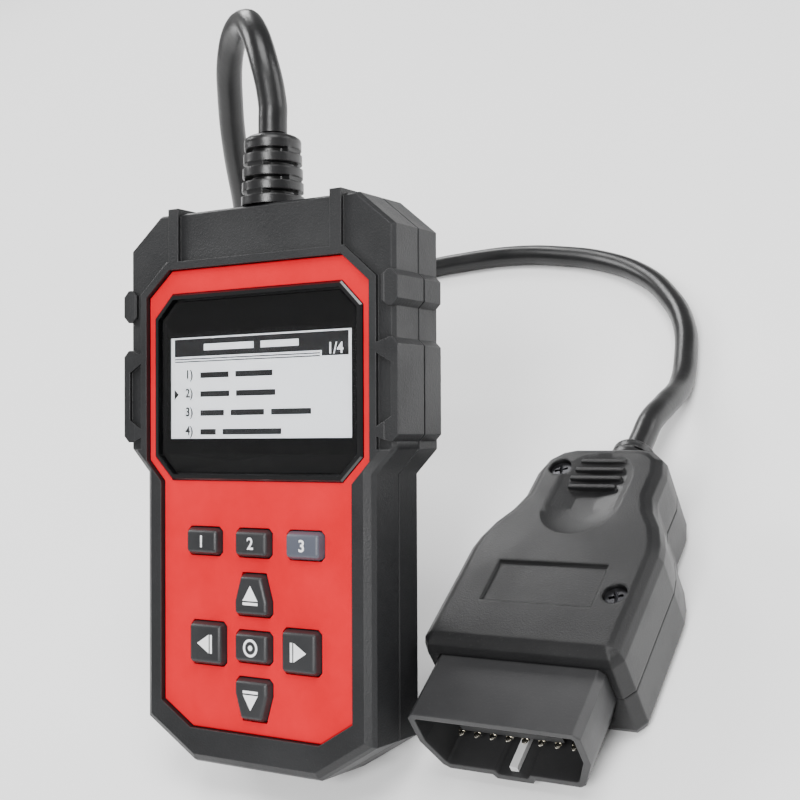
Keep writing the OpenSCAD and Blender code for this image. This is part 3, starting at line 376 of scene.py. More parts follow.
def lensGlass():
    material, tree, shader, point = newMaterial("lensGlass")
    marks = placeEffect(tree, handlingEffect, point, Dust=0.0)
    roughness = rangeNode(tree, marks.outputs["Smudge"], 0.0, 1.0, 0.015, 0.05)
    tree.links.new(roughness, shader.inputs["Roughness"])
    colour = colourMix(tree, noiseNode(tree, point, 40.0), (0.90, 0.91, 0.93), (0.96, 0.96, 0.97))
    tree.links.new(colour, shader.inputs["Base Color"])
    shader.inputs["Transmission Weight"].default_value = 1.0
    shader.inputs["IOR"].default_value = 1.46
    return material


displayDot = 0.4


# Lit display: a faint grid of dots over an even white, that also gives off light.
def litDisplay():
    material, tree, shader, point = newMaterial("litDisplay")
    pixels = tree.nodes.new("ShaderNodeTexVoronoi")
    pixels.inputs["Scale"].default_value = 1 / (displayDot * mm)
    pixels.inputs["Randomness"].default_value = 0.0
    tree.links.new(point, pixels.inputs["Vector"])
    cell = rangeNode(tree, pixels.outputs["Distance"], 0.35, 0.6, 0.0, 1.0)
    cloud = noiseNode(tree, point, 30.0)
    mask = mathNode(tree, "MULTIPLY_ADD", cloud, 0.35, mathNode(tree, "MULTIPLY", cell, 0.5))
    colour = colourMix(tree, mask, (0.90, 0.92, 0.93), (0.80, 0.82, 0.84))
    tree.links.new(colour, shader.inputs["Base Color"])
    tree.links.new(colour, shader.inputs["Emission Color"])
    shader.inputs["Emission Strength"].default_value = 1.0
    tree.links.new(rangeNode(tree, cloud, 0.0, 1.0, 0.35, 0.45), shader.inputs["Roughness"])
    return material


materials["lensGlass"] = lensGlass()
materials["litDisplay"] = litDisplay()
print("stage: materials,", len(materials))


def paint(obj, name):
    if obj.data.materials:
        for i in range(len(obj.material_slots)):
            obj.material_slots[i].material = materials[name]
    else:
        obj.data.materials.append(materials[name])
    return obj


def place(obj, body):
    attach(obj, body)
    return obj


nodeFinish = {
    "casingBlack": ["front_cover", "back_cover"],
    "faceplateRed": ["faceplate"],
    "bezelBlack": ["window_bezel"],
    "lensGlass": ["window_lens"],
    "maskBlack": ["window_mask"],
    "litDisplay": ["lcd_glass"],
    "backlightWhite": ["lcd_backlight"],
    "traySteel": ["lcd_tray"],
    "ribbonAmber": ["lcd_ribbon"],
    "boardGreen": ["main_board", "plug_board"],
    "chipBlack": ["processor", "interface_chips", "buzzer"],
    "partsTan": ["small_parts"],
    "switchGrey": ["key_switches"],
    "membraneSilicone": ["key_membrane"],
    "keyBlack": ["key_one", "key_two", "key_up_arrow", "key_left_arrow", "key_centre", "key_right_arrow",
                 "key_down_arrow"],
    "keyGrey": ["key_three"],
    "screwSteel": ["case_screws", "board_screws"],
    "screwBlack": ["plug_screws"],
    "headerIvory": ["cord_header"],
    "wireRed": ["lead_wires", "plug_wires"],
    "cordBlack": ["cord_tail", "cord"],
    "reliefBlack": ["strain_relief", "plug_relief"],
    "plugBlack": ["plug_top_shell", "plug_bottom_shell"],
    "shroudBlack": ["plug_shroud"],
    "blockBlack": ["plug_block"],
    "contactBrass": ["plug_contacts"],
    "barSilver": ["plug_key_bar"],
}
finishOf = {node: finish for finish, group in nodeFinish.items() for node in group}
for node, finish in finishOf.items():
    paint(nodes[node], finish)


# The cord: the route of part.scad, straight out of one strain relief and into the other.
cordLead = {
    "diameter": 6.6,
    "start": (0, 143.02, 14.0),
    "end": (57.0, 91.02, 12.5),
    "startLead": (3, 6.5),
    "endLead": (12, 6),
    "route": [
        (-3, 93, 130), (-8, 100, 134), (-14, 106, 134), (-21, 110, 131), (-28, 112, 124), (-34, 113, 114),
        (-41, 114, 99), (-47, 115, 83), (-53, 115, 67), (-58, 116, 50), (-63, 118, 34), (-69, 122, 20),
        (-77, 128, 10), (-86, 138, 4.4), (-92, 151, 3.4), (-94, 165, 3.4), (-90, 180, 3.4), (-79, 193, 3.4),
        (-63, 201, 3.4), (-44, 205, 3.4), (-25, 206, 3.4), (-7, 203, 3.4), (11, 197, 3.4), (27, 187, 3.4),
        (39, 174, 3.4), (48, 159, 3.4), (53, 143, 3.4), (56, 128, 4.6), (57, 114, 9.4)],
}


def cordPoints():
    start = handsetMatrix @ (Vector(cordLead["start"]) * mm)
    along = (handsetMatrix.to_3x3() @ Vector((0, 1, 0))).normalized()
    shift = Vector((0, stance["restY"], 0))
    middle = [(Vector(p) + shift) * mm for p in cordLead["route"]]
    end = (Vector(cordLead["end"]) + shift) * mm
    back = Vector((0, 1, 0))
    first = [start + along * reach * mm for reach in cordLead["startLead"]]
    last = [end + back * reach * mm for reach in cordLead["endLead"]]
    return [start, *first, *middle, *last, end]


def makeCord():
    points = cordPoints()
    curve = bpy.data.curves.new("cordSheath", "CURVE")
    curve.dimensions = "3D"
    curve.resolution_u = 8
    curve.render_resolution_u = 8
    curve.bevel_depth = cordLead["diameter"] / 2 * mm
    curve.bevel_resolution = 7
    curve.use_fill_caps = True
    spline = curve.splines.new("BEZIER")
    spline.bezier_points.add(len(points) - 1)
    for knot, point in zip(spline.bezier_points, points):
        knot.co = point
        knot.handle_left_type = knot.handle_right_type = "AUTO"
    obj = addObject("cord_sheath", curve)
    obj.data.materials.append(materials["cordBlack"])
    place(obj, "reader")
    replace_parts(obj, "cord")
    return obj, points


cordPiece, cordKnots = makeCord()
cordSpan = sum((b - a).length for a, b in zip(cordKnots, cordKnots[1:]))
print(f"stage: cord, {cordSpan:.3f} m between its knots")


dressing = {"merge": 0.003, "flat": 0.6}


# A moulded piece: the CAD solid with its doubles merged, smooth over its curves and crisp
# at its corners, which the material's edge effect (light wear and painted highlight) then rounds.
def dressed(name, node, body, angle):
    mesh = nodes[node].data.copy()
    mesh.name = name
    shape = bmesh.new()
    shape.from_mesh(mesh)
    bmesh.ops.remove_doubles(shape, verts=shape.verts, dist=dressing["merge"] * mm)
    bmesh.ops.dissolve_limit(shape, angle_limit=math.radians(dressing["flat"]), verts=shape.verts,
                             edges=shape.edges)
    shape.to_mesh(mesh)
    shape.free()
    mesh.shade_smooth()
    mesh.set_sharp_from_angle(angle=math.radians(angle))
    obj = addObject(name, mesh)
    weighted = obj.modifiers.new("evenNormals", "WEIGHTED_NORMAL")
    weighted.keep_sharp = True
    finished = evaluatedMesh(obj)
    obj.modifiers.clear()
    obj.data = finished
    finished.name = name
    finished.materials.clear()
    finished.materials.append(materials[finishOf[node]])
    place(obj, body)
    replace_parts(obj, node)
    return obj


# Each piece with the node that it stands for and the angle from which an edge stays crisp.
mouldedPieces = {
    "front_shell": ("front_cover", 12),
    "back_shell": ("back_cover", 12),
    "red_plate": ("faceplate", 12),
    "window_frame": ("window_bezel", 12),
    "plug_upper_half": ("plug_top_shell", 12),
    "plug_lower_half": ("plug_bottom_shell", 12),
    "plug_mouth_shell": ("plug_shroud", 28),
    "contact_carrier": ("plug_block", 28),
}
for name, (node, angle) in mouldedPieces.items():
    dressed(name, node, "reader", angle)


# A flat plate with any outline, in the handset's own frame.
def addPlate(shape, corners, low, high):
    under = [shape.verts.new(Vector((x, y, low)) * mm) for x, y in corners]
    over = [shape.verts.new(Vector((x, y, high)) * mm) for x, y in corners]
    count = len(corners)
    shape.faces.new(list(reversed(under)))
    shape.faces.new(over)
    for i in range(count):
        j = (i + 1) % count
        shape.faces.new((under[i], under[j], over[j], over[i]))


# Key caps: a rounded outline drawn in over a soft edge, on the foot and stem of the key.
keyCaps = {
    "corner": 1.3, "foot": 17.3, "slopeFrom": 21.2, "top": 22.6, "edge": 0.95, "edgeDrop": 0.9, "slope": 0.35,
    "edgeSteps": 6, "cornerSteps": 5, "stemRadius": 2.0, "stemFoot": 14.9, "stemSides": 24, "flange": 1.0,
    "flangeThick": 1.4, "flangeSteps": 3, "crisp": 40,
}
keyLayout = {
    "rowY": 50.5, "pitch": 14.2, "padY": 27.4, "padSide": 13.2, "padUp": 11.6, "print": 0.03, "sunk": 0.01,
    "numberHeight": 2.7, "rowCap": (9.7, 6.1), "sideCap": (10.0, 9.6), "centreCap": (9.9, 6.9),
}


def rectangle(width, height):
    x, y = width / 2, height / 2
    return [(-x, -y), (x, -y), (x, y), (-x, y)]


# A key that narrows over upright sides, pointing up for 1 and down for -1.
def arrowShape(turn):
    base, tip, long, upright = 9.9, 6.4, 9.3, 3.4
    points = [(-base / 2, -long / 2), (base / 2, -long / 2), (base / 2, upright - long / 2),
              (tip / 2, long / 2), (-tip / 2, long / 2), (-base / 2, upright - long / 2)]
    return [(x * turn, y * turn) for x, y in points]


leastRadius = 0.02


# A convex outline moved in by a distance, with its corners left round.
def roundOutline(corners, inset, radius, steps):
    count = len(corners)
    inner = max(radius, inset)
    ring = []
    for i in range(count):
        before, here, after = (Vector(corners[k % count]) for k in (i - 1, i, i + 1))
        first = (here - before).normalized()
        second = (after - here).normalized()
        firstOut = Vector((first.y, -first.x))
        secondOut = Vector((second.y, -second.x))
        middle = here - (firstOut + secondOut) * (inner / (1 + firstOut.dot(secondOut)))
        start = math.atan2(firstOut.y, firstOut.x)
        sweep = math.acos(max(-1, min(1, firstOut.dot(secondOut))))
        for k in range(steps + 1):
            angle = start + sweep * k / steps
            ring.append(middle + Vector((math.cos(angle), math.sin(angle))) * max(inner - inset, leastRadius))
    return ring


def keyCap(name, key, x, y, corners):
    c = keyCaps
    levels = [(c["foot"], 0.0), (c["slopeFrom"], 0.0)]
    for i in range(c["edgeSteps"] + 1):
        angle = math.pi / 2 * i / c["edgeSteps"]
        levels.append((c["top"] - c["edge"] * (1 - math.sin(angle)) * c["edgeDrop"],
                       c["slope"] + c["edge"] * (1 - math.cos(angle))))
    shape = bmesh.new()
    rings = []
    for z, inset in levels:
        ring = roundOutline(corners, inset, c["corner"], c["cornerSteps"])
        rings.append([shape.verts.new(Vector((x + p.x, y + p.y, z)) * mm) for p in ring])
    count = len(rings[0])
    for low, high in zip(rings, rings[1:]):
        for i in range(count):
            j = (i + 1) % count
            shape.faces.new((low[i], low[j], high[j], high[i]))
    shape.faces.new(rings[-1])
    shape.faces.new(list(reversed(rings[0])))
    flange = [(x + p.x, y + p.y) for p in roundOutline(corners, -c["flange"], c["corner"], c["flangeSteps"])]
    addPlate(shape, flange, c["foot"] - c["flangeThick"], c["foot"])
    angles = [2 * math.pi * i / c["stemSides"] for i in range(c["stemSides"])]
    stem = [(x + c["stemRadius"] * math.cos(a), y + c["stemRadius"] * math.sin(a)) for a in angles]
    addPlate(shape, stem, c["stemFoot"], c["foot"] - c["flangeThick"])
    bmesh.ops.recalc_face_normals(shape, faces=shape.faces)
    mesh = bpy.data.meshes.new(name)
    shape.to_mesh(mesh)
    shape.free()
    mesh.transform(handsetMatrix)
    mesh.shade_smooth()
    mesh.set_sharp_from_angle(angle=math.radians(c["crisp"]))
    mesh.materials.append(materials[finishOf[key]])
    obj = addObject(name, mesh)
    place(obj, key + "_body")
    return obj


keyPlaces = {
    "key_one": (-keyLayout["pitch"], keyLayout["rowY"], rectangle(*keyLayout["rowCap"])),
    "key_two": (0, keyLayout["rowY"], rectangle(*keyLayout["rowCap"])),
    "key_three": (keyLayout["pitch"], keyLayout["rowY"], rectangle(*keyLayout["rowCap"])),
    "key_up_arrow": (0, keyLayout["padY"] + keyLayout["padUp"], arrowShape(1)),
    "key_left_arrow": (-keyLayout["padSide"], keyLayout["padY"], rectangle(*keyLayout["sideCap"])),
    "key_centre": (0, keyLayout["padY"], rectangle(*keyLayout["centreCap"])),
    "key_right_arrow": (keyLayout["padSide"], keyLayout["padY"], rectangle(*keyLayout["sideCap"])),
    "key_down_arrow": (0, keyLayout["padY"] - keyLayout["padUp"], arrowShape(-1)),
}
for key, (x, y, corners) in keyPlaces.items():
    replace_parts(keyCap(key.replace("key_", "cap_"), key, x, y, corners), key)
print("stage: casings and keys")


# Flat print on the handset: bars, outlines and plain numbers, each a thin closed plate.
def bar(x0, x1, y0, y1):
    return [(x0, y0), (x1, y0), (x1, y1), (x0, y1)]


# A number as a plate: its text is made a mesh, scaled to its height and set in place.
def addNumber(shape, text, x, y, height, low, high):
    data = bpy.data.curves.new("number", "FONT")
    data.body = text
    data.align_x = "CENTER"
    data.extrude = 0.5  # a plate one unit thick
    data.offset = 0.02  # a little bolder than the plain font
    data.resolution_u = 4
    obj = addObject("number", data)
    mesh = evaluatedMesh(obj)
    bpy.data.objects.remove(obj)
    bpy.data.curves.remove(data)
    tall = [v.co.y for v in mesh.vertices]
    factor = height / (max(tall) - min(tall))
    thick = high - low
    setting = (Matrix.Scale(mm, 4) @ Matrix.Translation((x, y - height / 2, low + thick / 2))
               @ Matrix.Diagonal((factor, factor, thick, 1)) @ Matrix.Translation((0, -min(tall), 0)))
    mesh.transform(setting)
    shape.from_mesh(mesh)
    bpy.data.meshes.remove(mesh)


def printPiece(name, outlines, numbers, low, high, finish, body):
    shape = bmesh.new()
    for outline in outlines:
        addPlate(shape, outline, low, high)
    for text, x, y, height in numbers:
        addNumber(shape, text, x, y, height, low, high)
    mesh = bpy.data.meshes.new(name)
    shape.to_mesh(mesh)
    shape.free()
    mesh.transform(handsetMatrix)
    obj = addObject(name, mesh)
    mesh.materials.append(materials[finish])
    return place(obj, body)


# An arrow with a bar at its foot, turned in steps of a quarter.
def arrowLegend(x, y, turns):
    size = {"half": 2.1, "tip": 2.2, "foot": -1.2, "gap": 0.35, "bar": 0.6}
    barTop = size["foot"] - size["gap"]
    shapes = [[(-size["half"], size["foot"]), (size["half"], size["foot"]), (0, size["tip"])],
              bar(-size["half"], size["half"], barTop - size["bar"], barTop)]
    angle = math.radians(90 * turns)
    c, s = math.cos(angle), math.sin(angle)
    return [[(x + px * c - py * s, y + px * s + py * c) for px, py in shape] for shape in shapes]


# A ring of short plates round a dot.
def ringLegend(x, y):
    size = {"outer": 2.0, "inner": 1.45, "dot": 0.6, "steps": 28, "dotSteps": 16}
    shapes = []
    for i in range(size["steps"]):
        a, b = (2 * math.pi * k / size["steps"] for k in (i, i + 1))
        shapes.append([(x + size["inner"] * math.cos(a), y + size["inner"] * math.sin(a)),
                       (x + size["outer"] * math.cos(a), y + size["outer"] * math.sin(a)),
                       (x + size["outer"] * math.cos(b), y + size["outer"] * math.sin(b)),
                       (x + size["inner"] * math.cos(b), y + size["inner"] * math.sin(b))])
    angles = [2 * math.pi * k / size["dotSteps"] for k in range(size["dotSteps"])]
    shapes.append([(x + size["dot"] * math.cos(a), y + size["dot"] * math.sin(a)) for a in angles])
    return shapes


# Each key with the outlines and the numbers on it.
def keyLegends():
    k = keyLayout
    height = k["numberHeight"]
    low, high = keyCaps["top"] - k["sunk"], keyCaps["top"] + k["print"]
    drawn = {
        "key_one": ([], [("1", -k["pitch"], k["rowY"], height)]),
        "key_two": ([], [("2", 0, k["rowY"], height)]),
        "key_three": ([], [("3", k["pitch"], k["rowY"], height)]),
        "key_up_arrow": (arrowLegend(0, k["padY"] + k["padUp"], 0), []),
        "key_left_arrow": (arrowLegend(-k["padSide"], k["padY"], 1), []),
        "key_centre": (ringLegend(0, k["padY"]), []),
        "key_right_arrow": (arrowLegend(k["padSide"], k["padY"], 3), []),
        "key_down_arrow": (arrowLegend(0, k["padY"] - k["padUp"], 2), []),
    }
    for key, (outlines, numbers) in drawn.items():
        printPiece(key.replace("key_", "legend_"), outlines, numbers, low, high, "legendWhite", key + "_body")


keyLegends()

# What the display shows: a dark header with its page number, two rules and four numbered rows.
displayPrint = {
    "level": 19.0, "sunk": 0.005, "ink": 0.04, "light": 0.02, "left": -24.7, "right": 24.7,
    "headTop": 96.85, "headFoot": 92.8, "tabLeft": 17.6, "tabFoot": 91.6, "tabGap": 0.5,
    "rules": [(92.1, 92.35), (91.5, 91.75)],
    "firstRow": 88.4, "rowPitch": 4.35, "numberX": -20.3, "numberHeight": 2.76,
    "words": [[8.4, 10.6], [8.6, 11.2], [7.0, 9.6, 11.0], [4.6, 16.8]],
    "wordStart": -16.9, "wordGap": 2.0, "wordHeight": 1.3,
    "title": [14.6, 10.6], "titleStart": -15.8, "titleHeight": 1.5,
    "cursor": (-24.8, -23.5), "cursorHalf": 1.25, "cursorRow": 1,
    "page": ("1/4", 21.2, 93.2, 2.5),
}


def drawDisplay():
    d = displayPrint
    ink = [bar(d["left"], d["right"], d["headFoot"], d["headTop"]),
           bar(d["tabLeft"], d["right"], d["tabFoot"], d["headFoot"])]
    ink += [bar(d["left"], d["tabLeft"] - d["tabGap"], low, high) for low, high in d["rules"]]
    numbers = []
    for row, words in enumerate(d["words"]):
        y = d["firstRow"] - row * d["rowPitch"]
        numbers.append((f"{row + 1})", d["numberX"], y, d["numberHeight"]))
        x = d["wordStart"]
        for word in words:
            ink.append(bar(x, x + word, y - d["wordHeight"] / 2, y + d["wordHeight"] / 2))
            x += word + d["wordGap"]
    cursorY = d["firstRow"] - d["cursorRow"] * d["rowPitch"]
    back, point = d["cursor"]
    ink.append([(back, cursorY - d["cursorHalf"]), (point, cursorY), (back, cursorY + d["cursorHalf"])])
    inkTop = d["level"] + d["ink"]
    printPiece("display_ink", ink, numbers, d["level"] - d["sunk"], inkTop, "displayInk", "reader")
    light = []
    x = d["titleStart"]
    middle = (d["headTop"] + d["headFoot"]) / 2
    for word in d["title"]:
        light.append(bar(x, x + word, middle - d["titleHeight"] / 2, middle + d["titleHeight"] / 2))
        x += word + d["wordGap"]
    printPiece("display_light", light, [d["page"]], inkTop, inkTop + d["light"], "litDisplay", "reader")


drawDisplay()
print("stage: legends and display")


# Geometry Nodes for what repeats: a tree takes a count, named lengths and a material, and
# gives a plain mesh.
def newTree(name, countLabel, labels):
    tree = bpy.data.node_groups.new(name, "GeometryNodeTree")
    tree.is_modifier = True
    tree.interface.new_socket(name=countLabel, in_out="INPUT", socket_type="NodeSocketInt")
    for label in labels:
        tree.interface.new_socket(name=label, in_out="INPUT", socket_type="NodeSocketFloat")
    tree.interface.new_socket(name="Material", in_out="INPUT", socket_type="NodeSocketMaterial")
    tree.interface.new_socket(name="Geometry", in_out="OUTPUT", socket_type="NodeSocketGeometry")
    return tree, tree.nodes.new("NodeGroupInput"), tree.nodes.new("NodeGroupOutput")


# A node with its inputs linked or set: an underscore in a label stands for a space.
def addNode(tree, kind, **links):
    node = tree.nodes.new(kind)
    for label, value in links.items():
        socket = node.inputs[label.replace("_", " ")]
        if isinstance(value, bpy.types.NodeSocket):
            tree.links.new(value, socket)
        else:
            socket.default_value = value
    return node


def closeTree(tree, source, target, geometry):
    real = addNode(tree, "GeometryNodeRealizeInstances", Geometry=geometry)
    finish = addNode(tree, "GeometryNodeSetMaterial", Geometry=real.outputs[0],
                     Material=source.outputs["Material"])
    tree.links.new(finish.outputs[0], target.inputs["Geometry"])


# The tree's result as a plain mesh, set in place: inputs are set by their identifiers.
def grow(name, tree, values, setting, body):
    obj = addObject(name, bpy.data.meshes.new(name))
    modifier = obj.modifiers.new("nodes", "NODES")
    modifier.node_group = tree
    for item in tree.interface.items_tree:
        if item.item_type == "SOCKET" and item.in_out == "INPUT" and item.name in values:
            modifier[item.identifier] = values[item.name]
    mesh = evaluatedMesh(obj)
    obj.modifiers.clear()
    mesh.transform(setting)
    mesh.name = name
    obj.data = mesh
    return place(obj, body)


# Strain reliefs: rings along a core, tied by bridges that turn a quarter at each slot.
reliefs = {
    "handset_relief": {
        "node": "strain_relief", "setting": handsetMatrix, "foot": 126.3, "end": 143.0, "axis": 14.0,
        "rings": 4,
        "sizes": {"Slot": 1.15, "Base": 7.2, "Tip": 6.5, "Core": 4.6, "Bridge": 4.4, "Cap": 4.0,
                  "Shoulder": 2.0, "Neck": 5.3}},
    "plug_relief_sleeve": {
        "node": "plug_relief", "setting": plugMatrix, "foot": 82.8, "end": 94.0, "axis": 12.5,
        "rings": 3,
        "sizes": {"Slot": 1.0, "Base": 6.6, "Tip": 5.6, "Core": 4.0, "Bridge": 4.0, "Cap": 3.6,
                  "Shoulder": 1.7, "Neck": 6.2}},
}
reliefShape = {"sides": 48, "domeRings": 24, "bridgeReach": 1.86, "bridgeOver": 1.1, "crisp": 35}


def makeReliefTree():
    labels = ("Pitch", "Slot", "Base", "Tip", "Core", "Bridge", "Cap", "Shoulder", "Neck")
    tree, source, target = newTree("slottedRelief", "Rings", labels)
    value = source.outputs
    sides = reliefShape["sides"]
    index = tree.nodes.new("GeometryNodeInputIndex").outputs[0]
    upStep = addNode(tree, "ShaderNodeCombineXYZ", Z=value["Pitch"])
    thick = mathNode(tree, "SUBTRACT", value["Pitch"], value["Slot"])
    ringStart = addNode(tree, "ShaderNodeCombineXYZ", Z=mathNode(tree, "MULTIPLY", thick, 0.5))
    line = addNode(tree, "GeometryNodeMeshLine", Count=value["Rings"], Start_Location=ringStart.outputs[0],
                   Offset=upStep.outputs[0])
    share = mathNode(tree, "DIVIDE", index, value["Rings"])
    taper = mathNode(tree, "SUBTRACT", value["Tip"], value["Base"])
    radius = mathNode(tree, "MULTIPLY_ADD", taper, share, value["Base"])
    ring = addNode(tree, "GeometryNodeMeshCylinder", Vertices=sides, Radius=1.0, Depth=1.0)
    ringSize = addNode(tree, "ShaderNodeCombineXYZ", X=radius, Y=radius, Z=thick)
    rings = addNode(tree, "GeometryNodeInstanceOnPoints", Points=line.outputs[0], Instance=ring.outputs[0],
                    Scale=ringSize.outputs[0])
    slotMiddle = mathNode(tree, "MULTIPLY_ADD", value["Slot"], 0.5, thick)
    slotStart = addNode(tree, "ShaderNodeCombineXYZ", Z=slotMiddle)
    slots = addNode(tree, "GeometryNodeMeshLine", Count=value["Rings"], Start_Location=slotStart.outputs[0],
                    Offset=upStep.outputs[0])
    block = addNode(tree, "GeometryNodeMeshCube", Size=(1.0, 1.0, 1.0))
    reach = mathNode(tree, "MULTIPLY", radius, reliefShape["bridgeReach"])
    deep = mathNode(tree, "MULTIPLY", value["Slot"], reliefShape["bridgeOver"])
    blockSize = addNode(tree, "ShaderNodeCombineXYZ", X=reach, Y=value["Bridge"], Z=deep)
    turned = mathNode(tree, "MULTIPLY_ADD", index, math.pi / 2, math.pi / 2)
    quarter = addNode(tree, "ShaderNodeCombineXYZ", Z=turned)
    bridges = addNode(tree, "GeometryNodeInstanceOnPoints", Points=slots.outputs[0],
                      Instance=block.outputs[0], Rotation=quarter.outputs[0], Scale=blockSize.outputs[0])
    total = mathNode(tree, "MULTIPLY", value["Pitch"], value["Rings"])
    coreLong = mathNode(tree, "ADD", total, value["Neck"])
    core = addNode(tree, "GeometryNodeMeshCylinder", Vertices=sides, Radius=value["Core"], Depth=coreLong)
    coreMiddle = mathNode(tree, "MULTIPLY", mathNode(tree, "SUBTRACT", total, value["Neck"]), 0.5)
    coreShift = addNode(tree, "ShaderNodeCombineXYZ", Z=coreMiddle)
    coreAt = addNode(tree, "GeometryNodeTransform", Geometry=core.outputs[0],
                     Translation=coreShift.outputs[0])
    straight = mathNode(tree, "SUBTRACT", value["Cap"], value["Shoulder"])
    capTube = addNode(tree, "GeometryNodeMeshCylinder", Vertices=sides, Radius=value["Tip"], Depth=straight)
    capMiddle = mathNode(tree, "MULTIPLY_ADD", straight, 0.5, total)
    capShift = addNode(tree, "ShaderNodeCombineXYZ", Z=capMiddle)
    capAt = addNode(tree, "GeometryNodeTransform", Geometry=capTube.outputs[0],
                    Translation=capShift.outputs[0])
    dome = addNode(tree, "GeometryNodeMeshUVSphere", Segments=sides, Rings=reliefShape["domeRings"],
                   Radius=1.0)
    domeSize = addNode(tree, "ShaderNodeCombineXYZ", X=value["Tip"], Y=value["Tip"], Z=value["Shoulder"])
    domeShift = addNode(tree, "ShaderNodeCombineXYZ", Z=mathNode(tree, "ADD", total, straight))
    domeAt = addNode(tree, "GeometryNodeTransform", Geometry=dome.outputs[0],
                     Translation=domeShift.outputs[0], Scale=domeSize.outputs[0])
    joined = tree.nodes.new("GeometryNodeJoinGeometry")
    for part in (rings, bridges, coreAt, capAt, domeAt):
        tree.links.new(part.outputs[0], joined.inputs[0])
    closeTree(tree, source, target, joined.outputs[0])
    return tree


def makeReliefs():
    tree = makeReliefTree()
    upright = Matrix.Rotation(math.radians(-90), 4, "X")
    for name, r in reliefs.items():
        pitch = (r["end"] - r["foot"] - r["sizes"]["Cap"]) / r["rings"]
        values = {label: size * mm for label, size in r["sizes"].items()}
        values.update({"Rings": r["rings"], "Pitch": pitch * mm, "Material": materials["reliefBlack"]})
        root = r["setting"] @ Matrix.Translation(Vector((0, r["foot"], r["axis"])) * mm) @ upright
        piece = grow(name, tree, values, root, "reader")
        piece.data.shade_smooth()
        piece.data.set_sharp_from_angle(angle=math.radians(reliefShape["crisp"]))
        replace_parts(piece, r["node"])


makeReliefs()
print("stage: strain reliefs")

# Contacts: two rows of blades with rounded, drawn-in tips. Each row has its height and pitch.
contactRow = {"count": 8, "width": 1.5, "thickness": 0.8, "tipLength": 1.2, "front": 5.0, "back": 24.1,
              "mid": 12.5, "rows": [(3.6, 4.0), (-3.6, 3.8)]}


def makeContactTree():
    labels = ("Pitch", "Width", "Thickness", "Length", "Tip")
    tree, source, target = newTree("contactRow", "Count", labels)
    value = source.outputs
    step = addNode(tree, "ShaderNodeCombineXYZ", X=value["Pitch"])
    row = addNode(tree, "GeometryNodeMeshLine", Count=value["Count"], Offset=step.outputs[0])
    shank = addNode(tree, "ShaderNodeCombineXYZ", X=value["Width"], Y=value["Length"], Z=value["Thickness"])
    blade = addNode(tree, "GeometryNodeMeshCube", Size=shank.outputs[0])
    half = mathNode(tree, "MULTIPLY", value["Length"], 0.5)
    bladeShift = addNode(tree, "ShaderNodeCombineXYZ", Y=half)
    bladeAt = addNode(tree, "GeometryNodeTransform", Geometry=blade.outputs[0],
                      Translation=bladeShift.outputs[0])
    tip = addNode(tree, "GeometryNodeMeshUVSphere", Segments=16, Rings=8, Radius=0.5)
    tipLong = mathNode(tree, "MULTIPLY", value["Tip"], 2.0)
    tipSize = addNode(tree, "ShaderNodeCombineXYZ", X=value["Width"], Y=tipLong, Z=value["Thickness"])
    tipAt = addNode(tree, "GeometryNodeTransform", Geometry=tip.outputs[0], Scale=tipSize.outputs[0])
    both = tree.nodes.new("GeometryNodeJoinGeometry")
    tree.links.new(bladeAt.outputs[0], both.inputs[0])
    tree.links.new(tipAt.outputs[0], both.inputs[0])
    placed = addNode(tree, "GeometryNodeInstanceOnPoints", Points=row.outputs[0], Instance=both.outputs[0])
    closeTree(tree, source, target, placed.outputs[0])
    return tree


def makeContacts():
    c = contactRow
    tree = makeContactTree()
    rows = []
    length = c["back"] - c["front"] - c["tipLength"]
    for i, (height, pitch) in enumerate(c["rows"]):
        values = {"Count": c["count"], "Pitch": pitch * mm, "Width": c["width"] * mm,
                  "Thickness": c["thickness"] * mm, "Length": length * mm, "Tip": c["tipLength"] * mm,
                  "Material": materials["contactBrass"]}
        first = -(c["count"] - 1) / 2 * pitch
        at = Vector((first, c["front"] + c["tipLength"], c["mid"] + height)) * mm
        rows.append(grow(f"contact_row_{i + 1}", tree, values, plugMatrix @ Matrix.Translation(at), "reader"))
    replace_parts(rows[0], "plug_contacts")
    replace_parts(rows[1], "plug_contacts")


makeContacts()
print("stage: contacts")


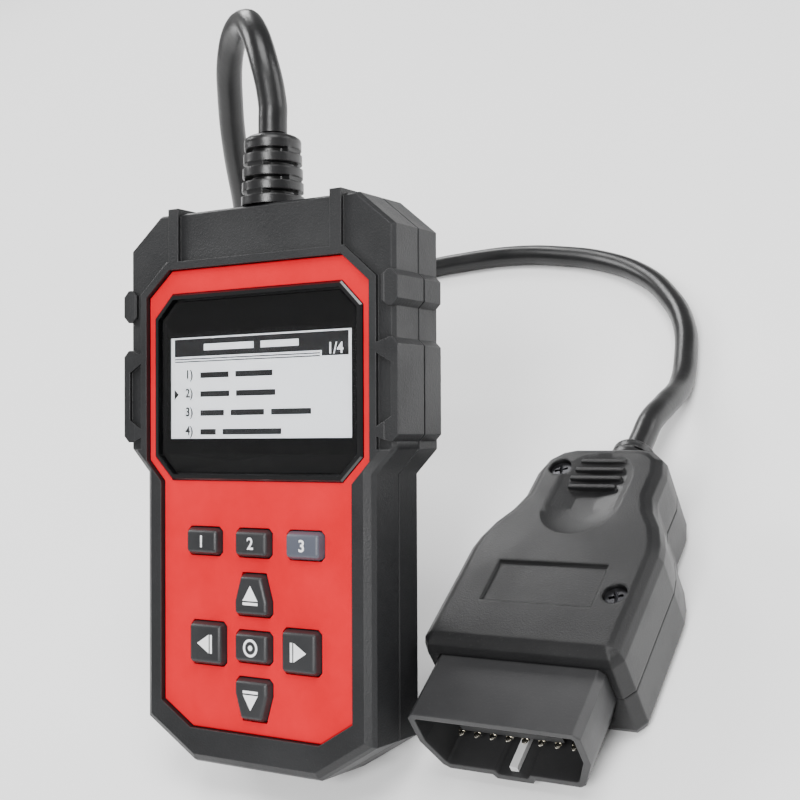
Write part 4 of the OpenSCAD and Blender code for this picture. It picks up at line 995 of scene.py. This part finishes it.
# Floor, backdrop and soft studio light.
studio = {
    "floorHalf": 3.0, "floorColour": ((0.92, 0.92, 0.92), (0.95, 0.95, 0.95)), "world": (1.0, 1.0, 1.0),
    "worldStrength": 0.35, "aim": (0.02, 0.02, 0.05),
    "lamps": [
        {"name": "keyLamp", "place": (0.30, -0.95, 1.00), "size": 0.5, "power": 22.0},
        {"name": "sideLamp", "place": (-1.05, 0.15, 0.75), "size": 0.45, "power": 9.0},
        {"name": "backLamp", "place": (-0.70, 0.95, 0.65), "size": 0.4, "power": 6.0},
        {"name": "topLamp", "place": (0.35, 0.15, 1.25), "size": 0.7, "power": 14.0},
        {"name": "rightLamp", "place": (0.90, 0.60, 0.40), "size": 0.5, "power": 5.0}],
}


def makeFloor():
    half = studio["floorHalf"]
    mesh = bpy.data.meshes.new("studioFloor")
    corners = [(-half, -half, 0), (half, -half, 0), (half, half, 0), (-half, half, 0)]
    mesh.from_pydata(corners, [], [(0, 1, 2, 3)])
    obj = addObject("studioFloor", mesh)
    material, tree, shader, point = newMaterial("floorPaper")
    cloud = noiseNode(tree, point, 6.0)
    tree.links.new(colourMix(tree, cloud, *studio["floorColour"]), shader.inputs["Base Color"])
    tree.links.new(rangeNode(tree, cloud, 0.0, 1.0, 0.7, 0.8), shader.inputs["Roughness"])
    mesh.materials.append(material)


def makeLamps():
    target = Vector(studio["aim"])
    for lamp in studio["lamps"]:
        data = bpy.data.lights.new(lamp["name"], "AREA")
        data.shape = "SQUARE"
        data.size = lamp["size"]
        data.energy = lamp["power"]
        obj = addObject(lamp["name"], data)
        at = Vector(lamp["place"])
        facing = (target - at).to_track_quat("-Z", "Y").to_matrix().to_4x4()
        obj.matrix_world = Matrix.Translation(at) @ facing
    world = bpy.data.worlds.new("studioWorld")
    world.use_nodes = True
    backdrop = world.node_tree.nodes["Background"]
    backdrop.inputs["Color"].default_value = (*studio["world"], 1.0)
    backdrop.inputs["Strength"].default_value = studio["worldStrength"]
    bpy.context.scene.world = world


makeFloor()
makeLamps()
print("stage: floor and light")
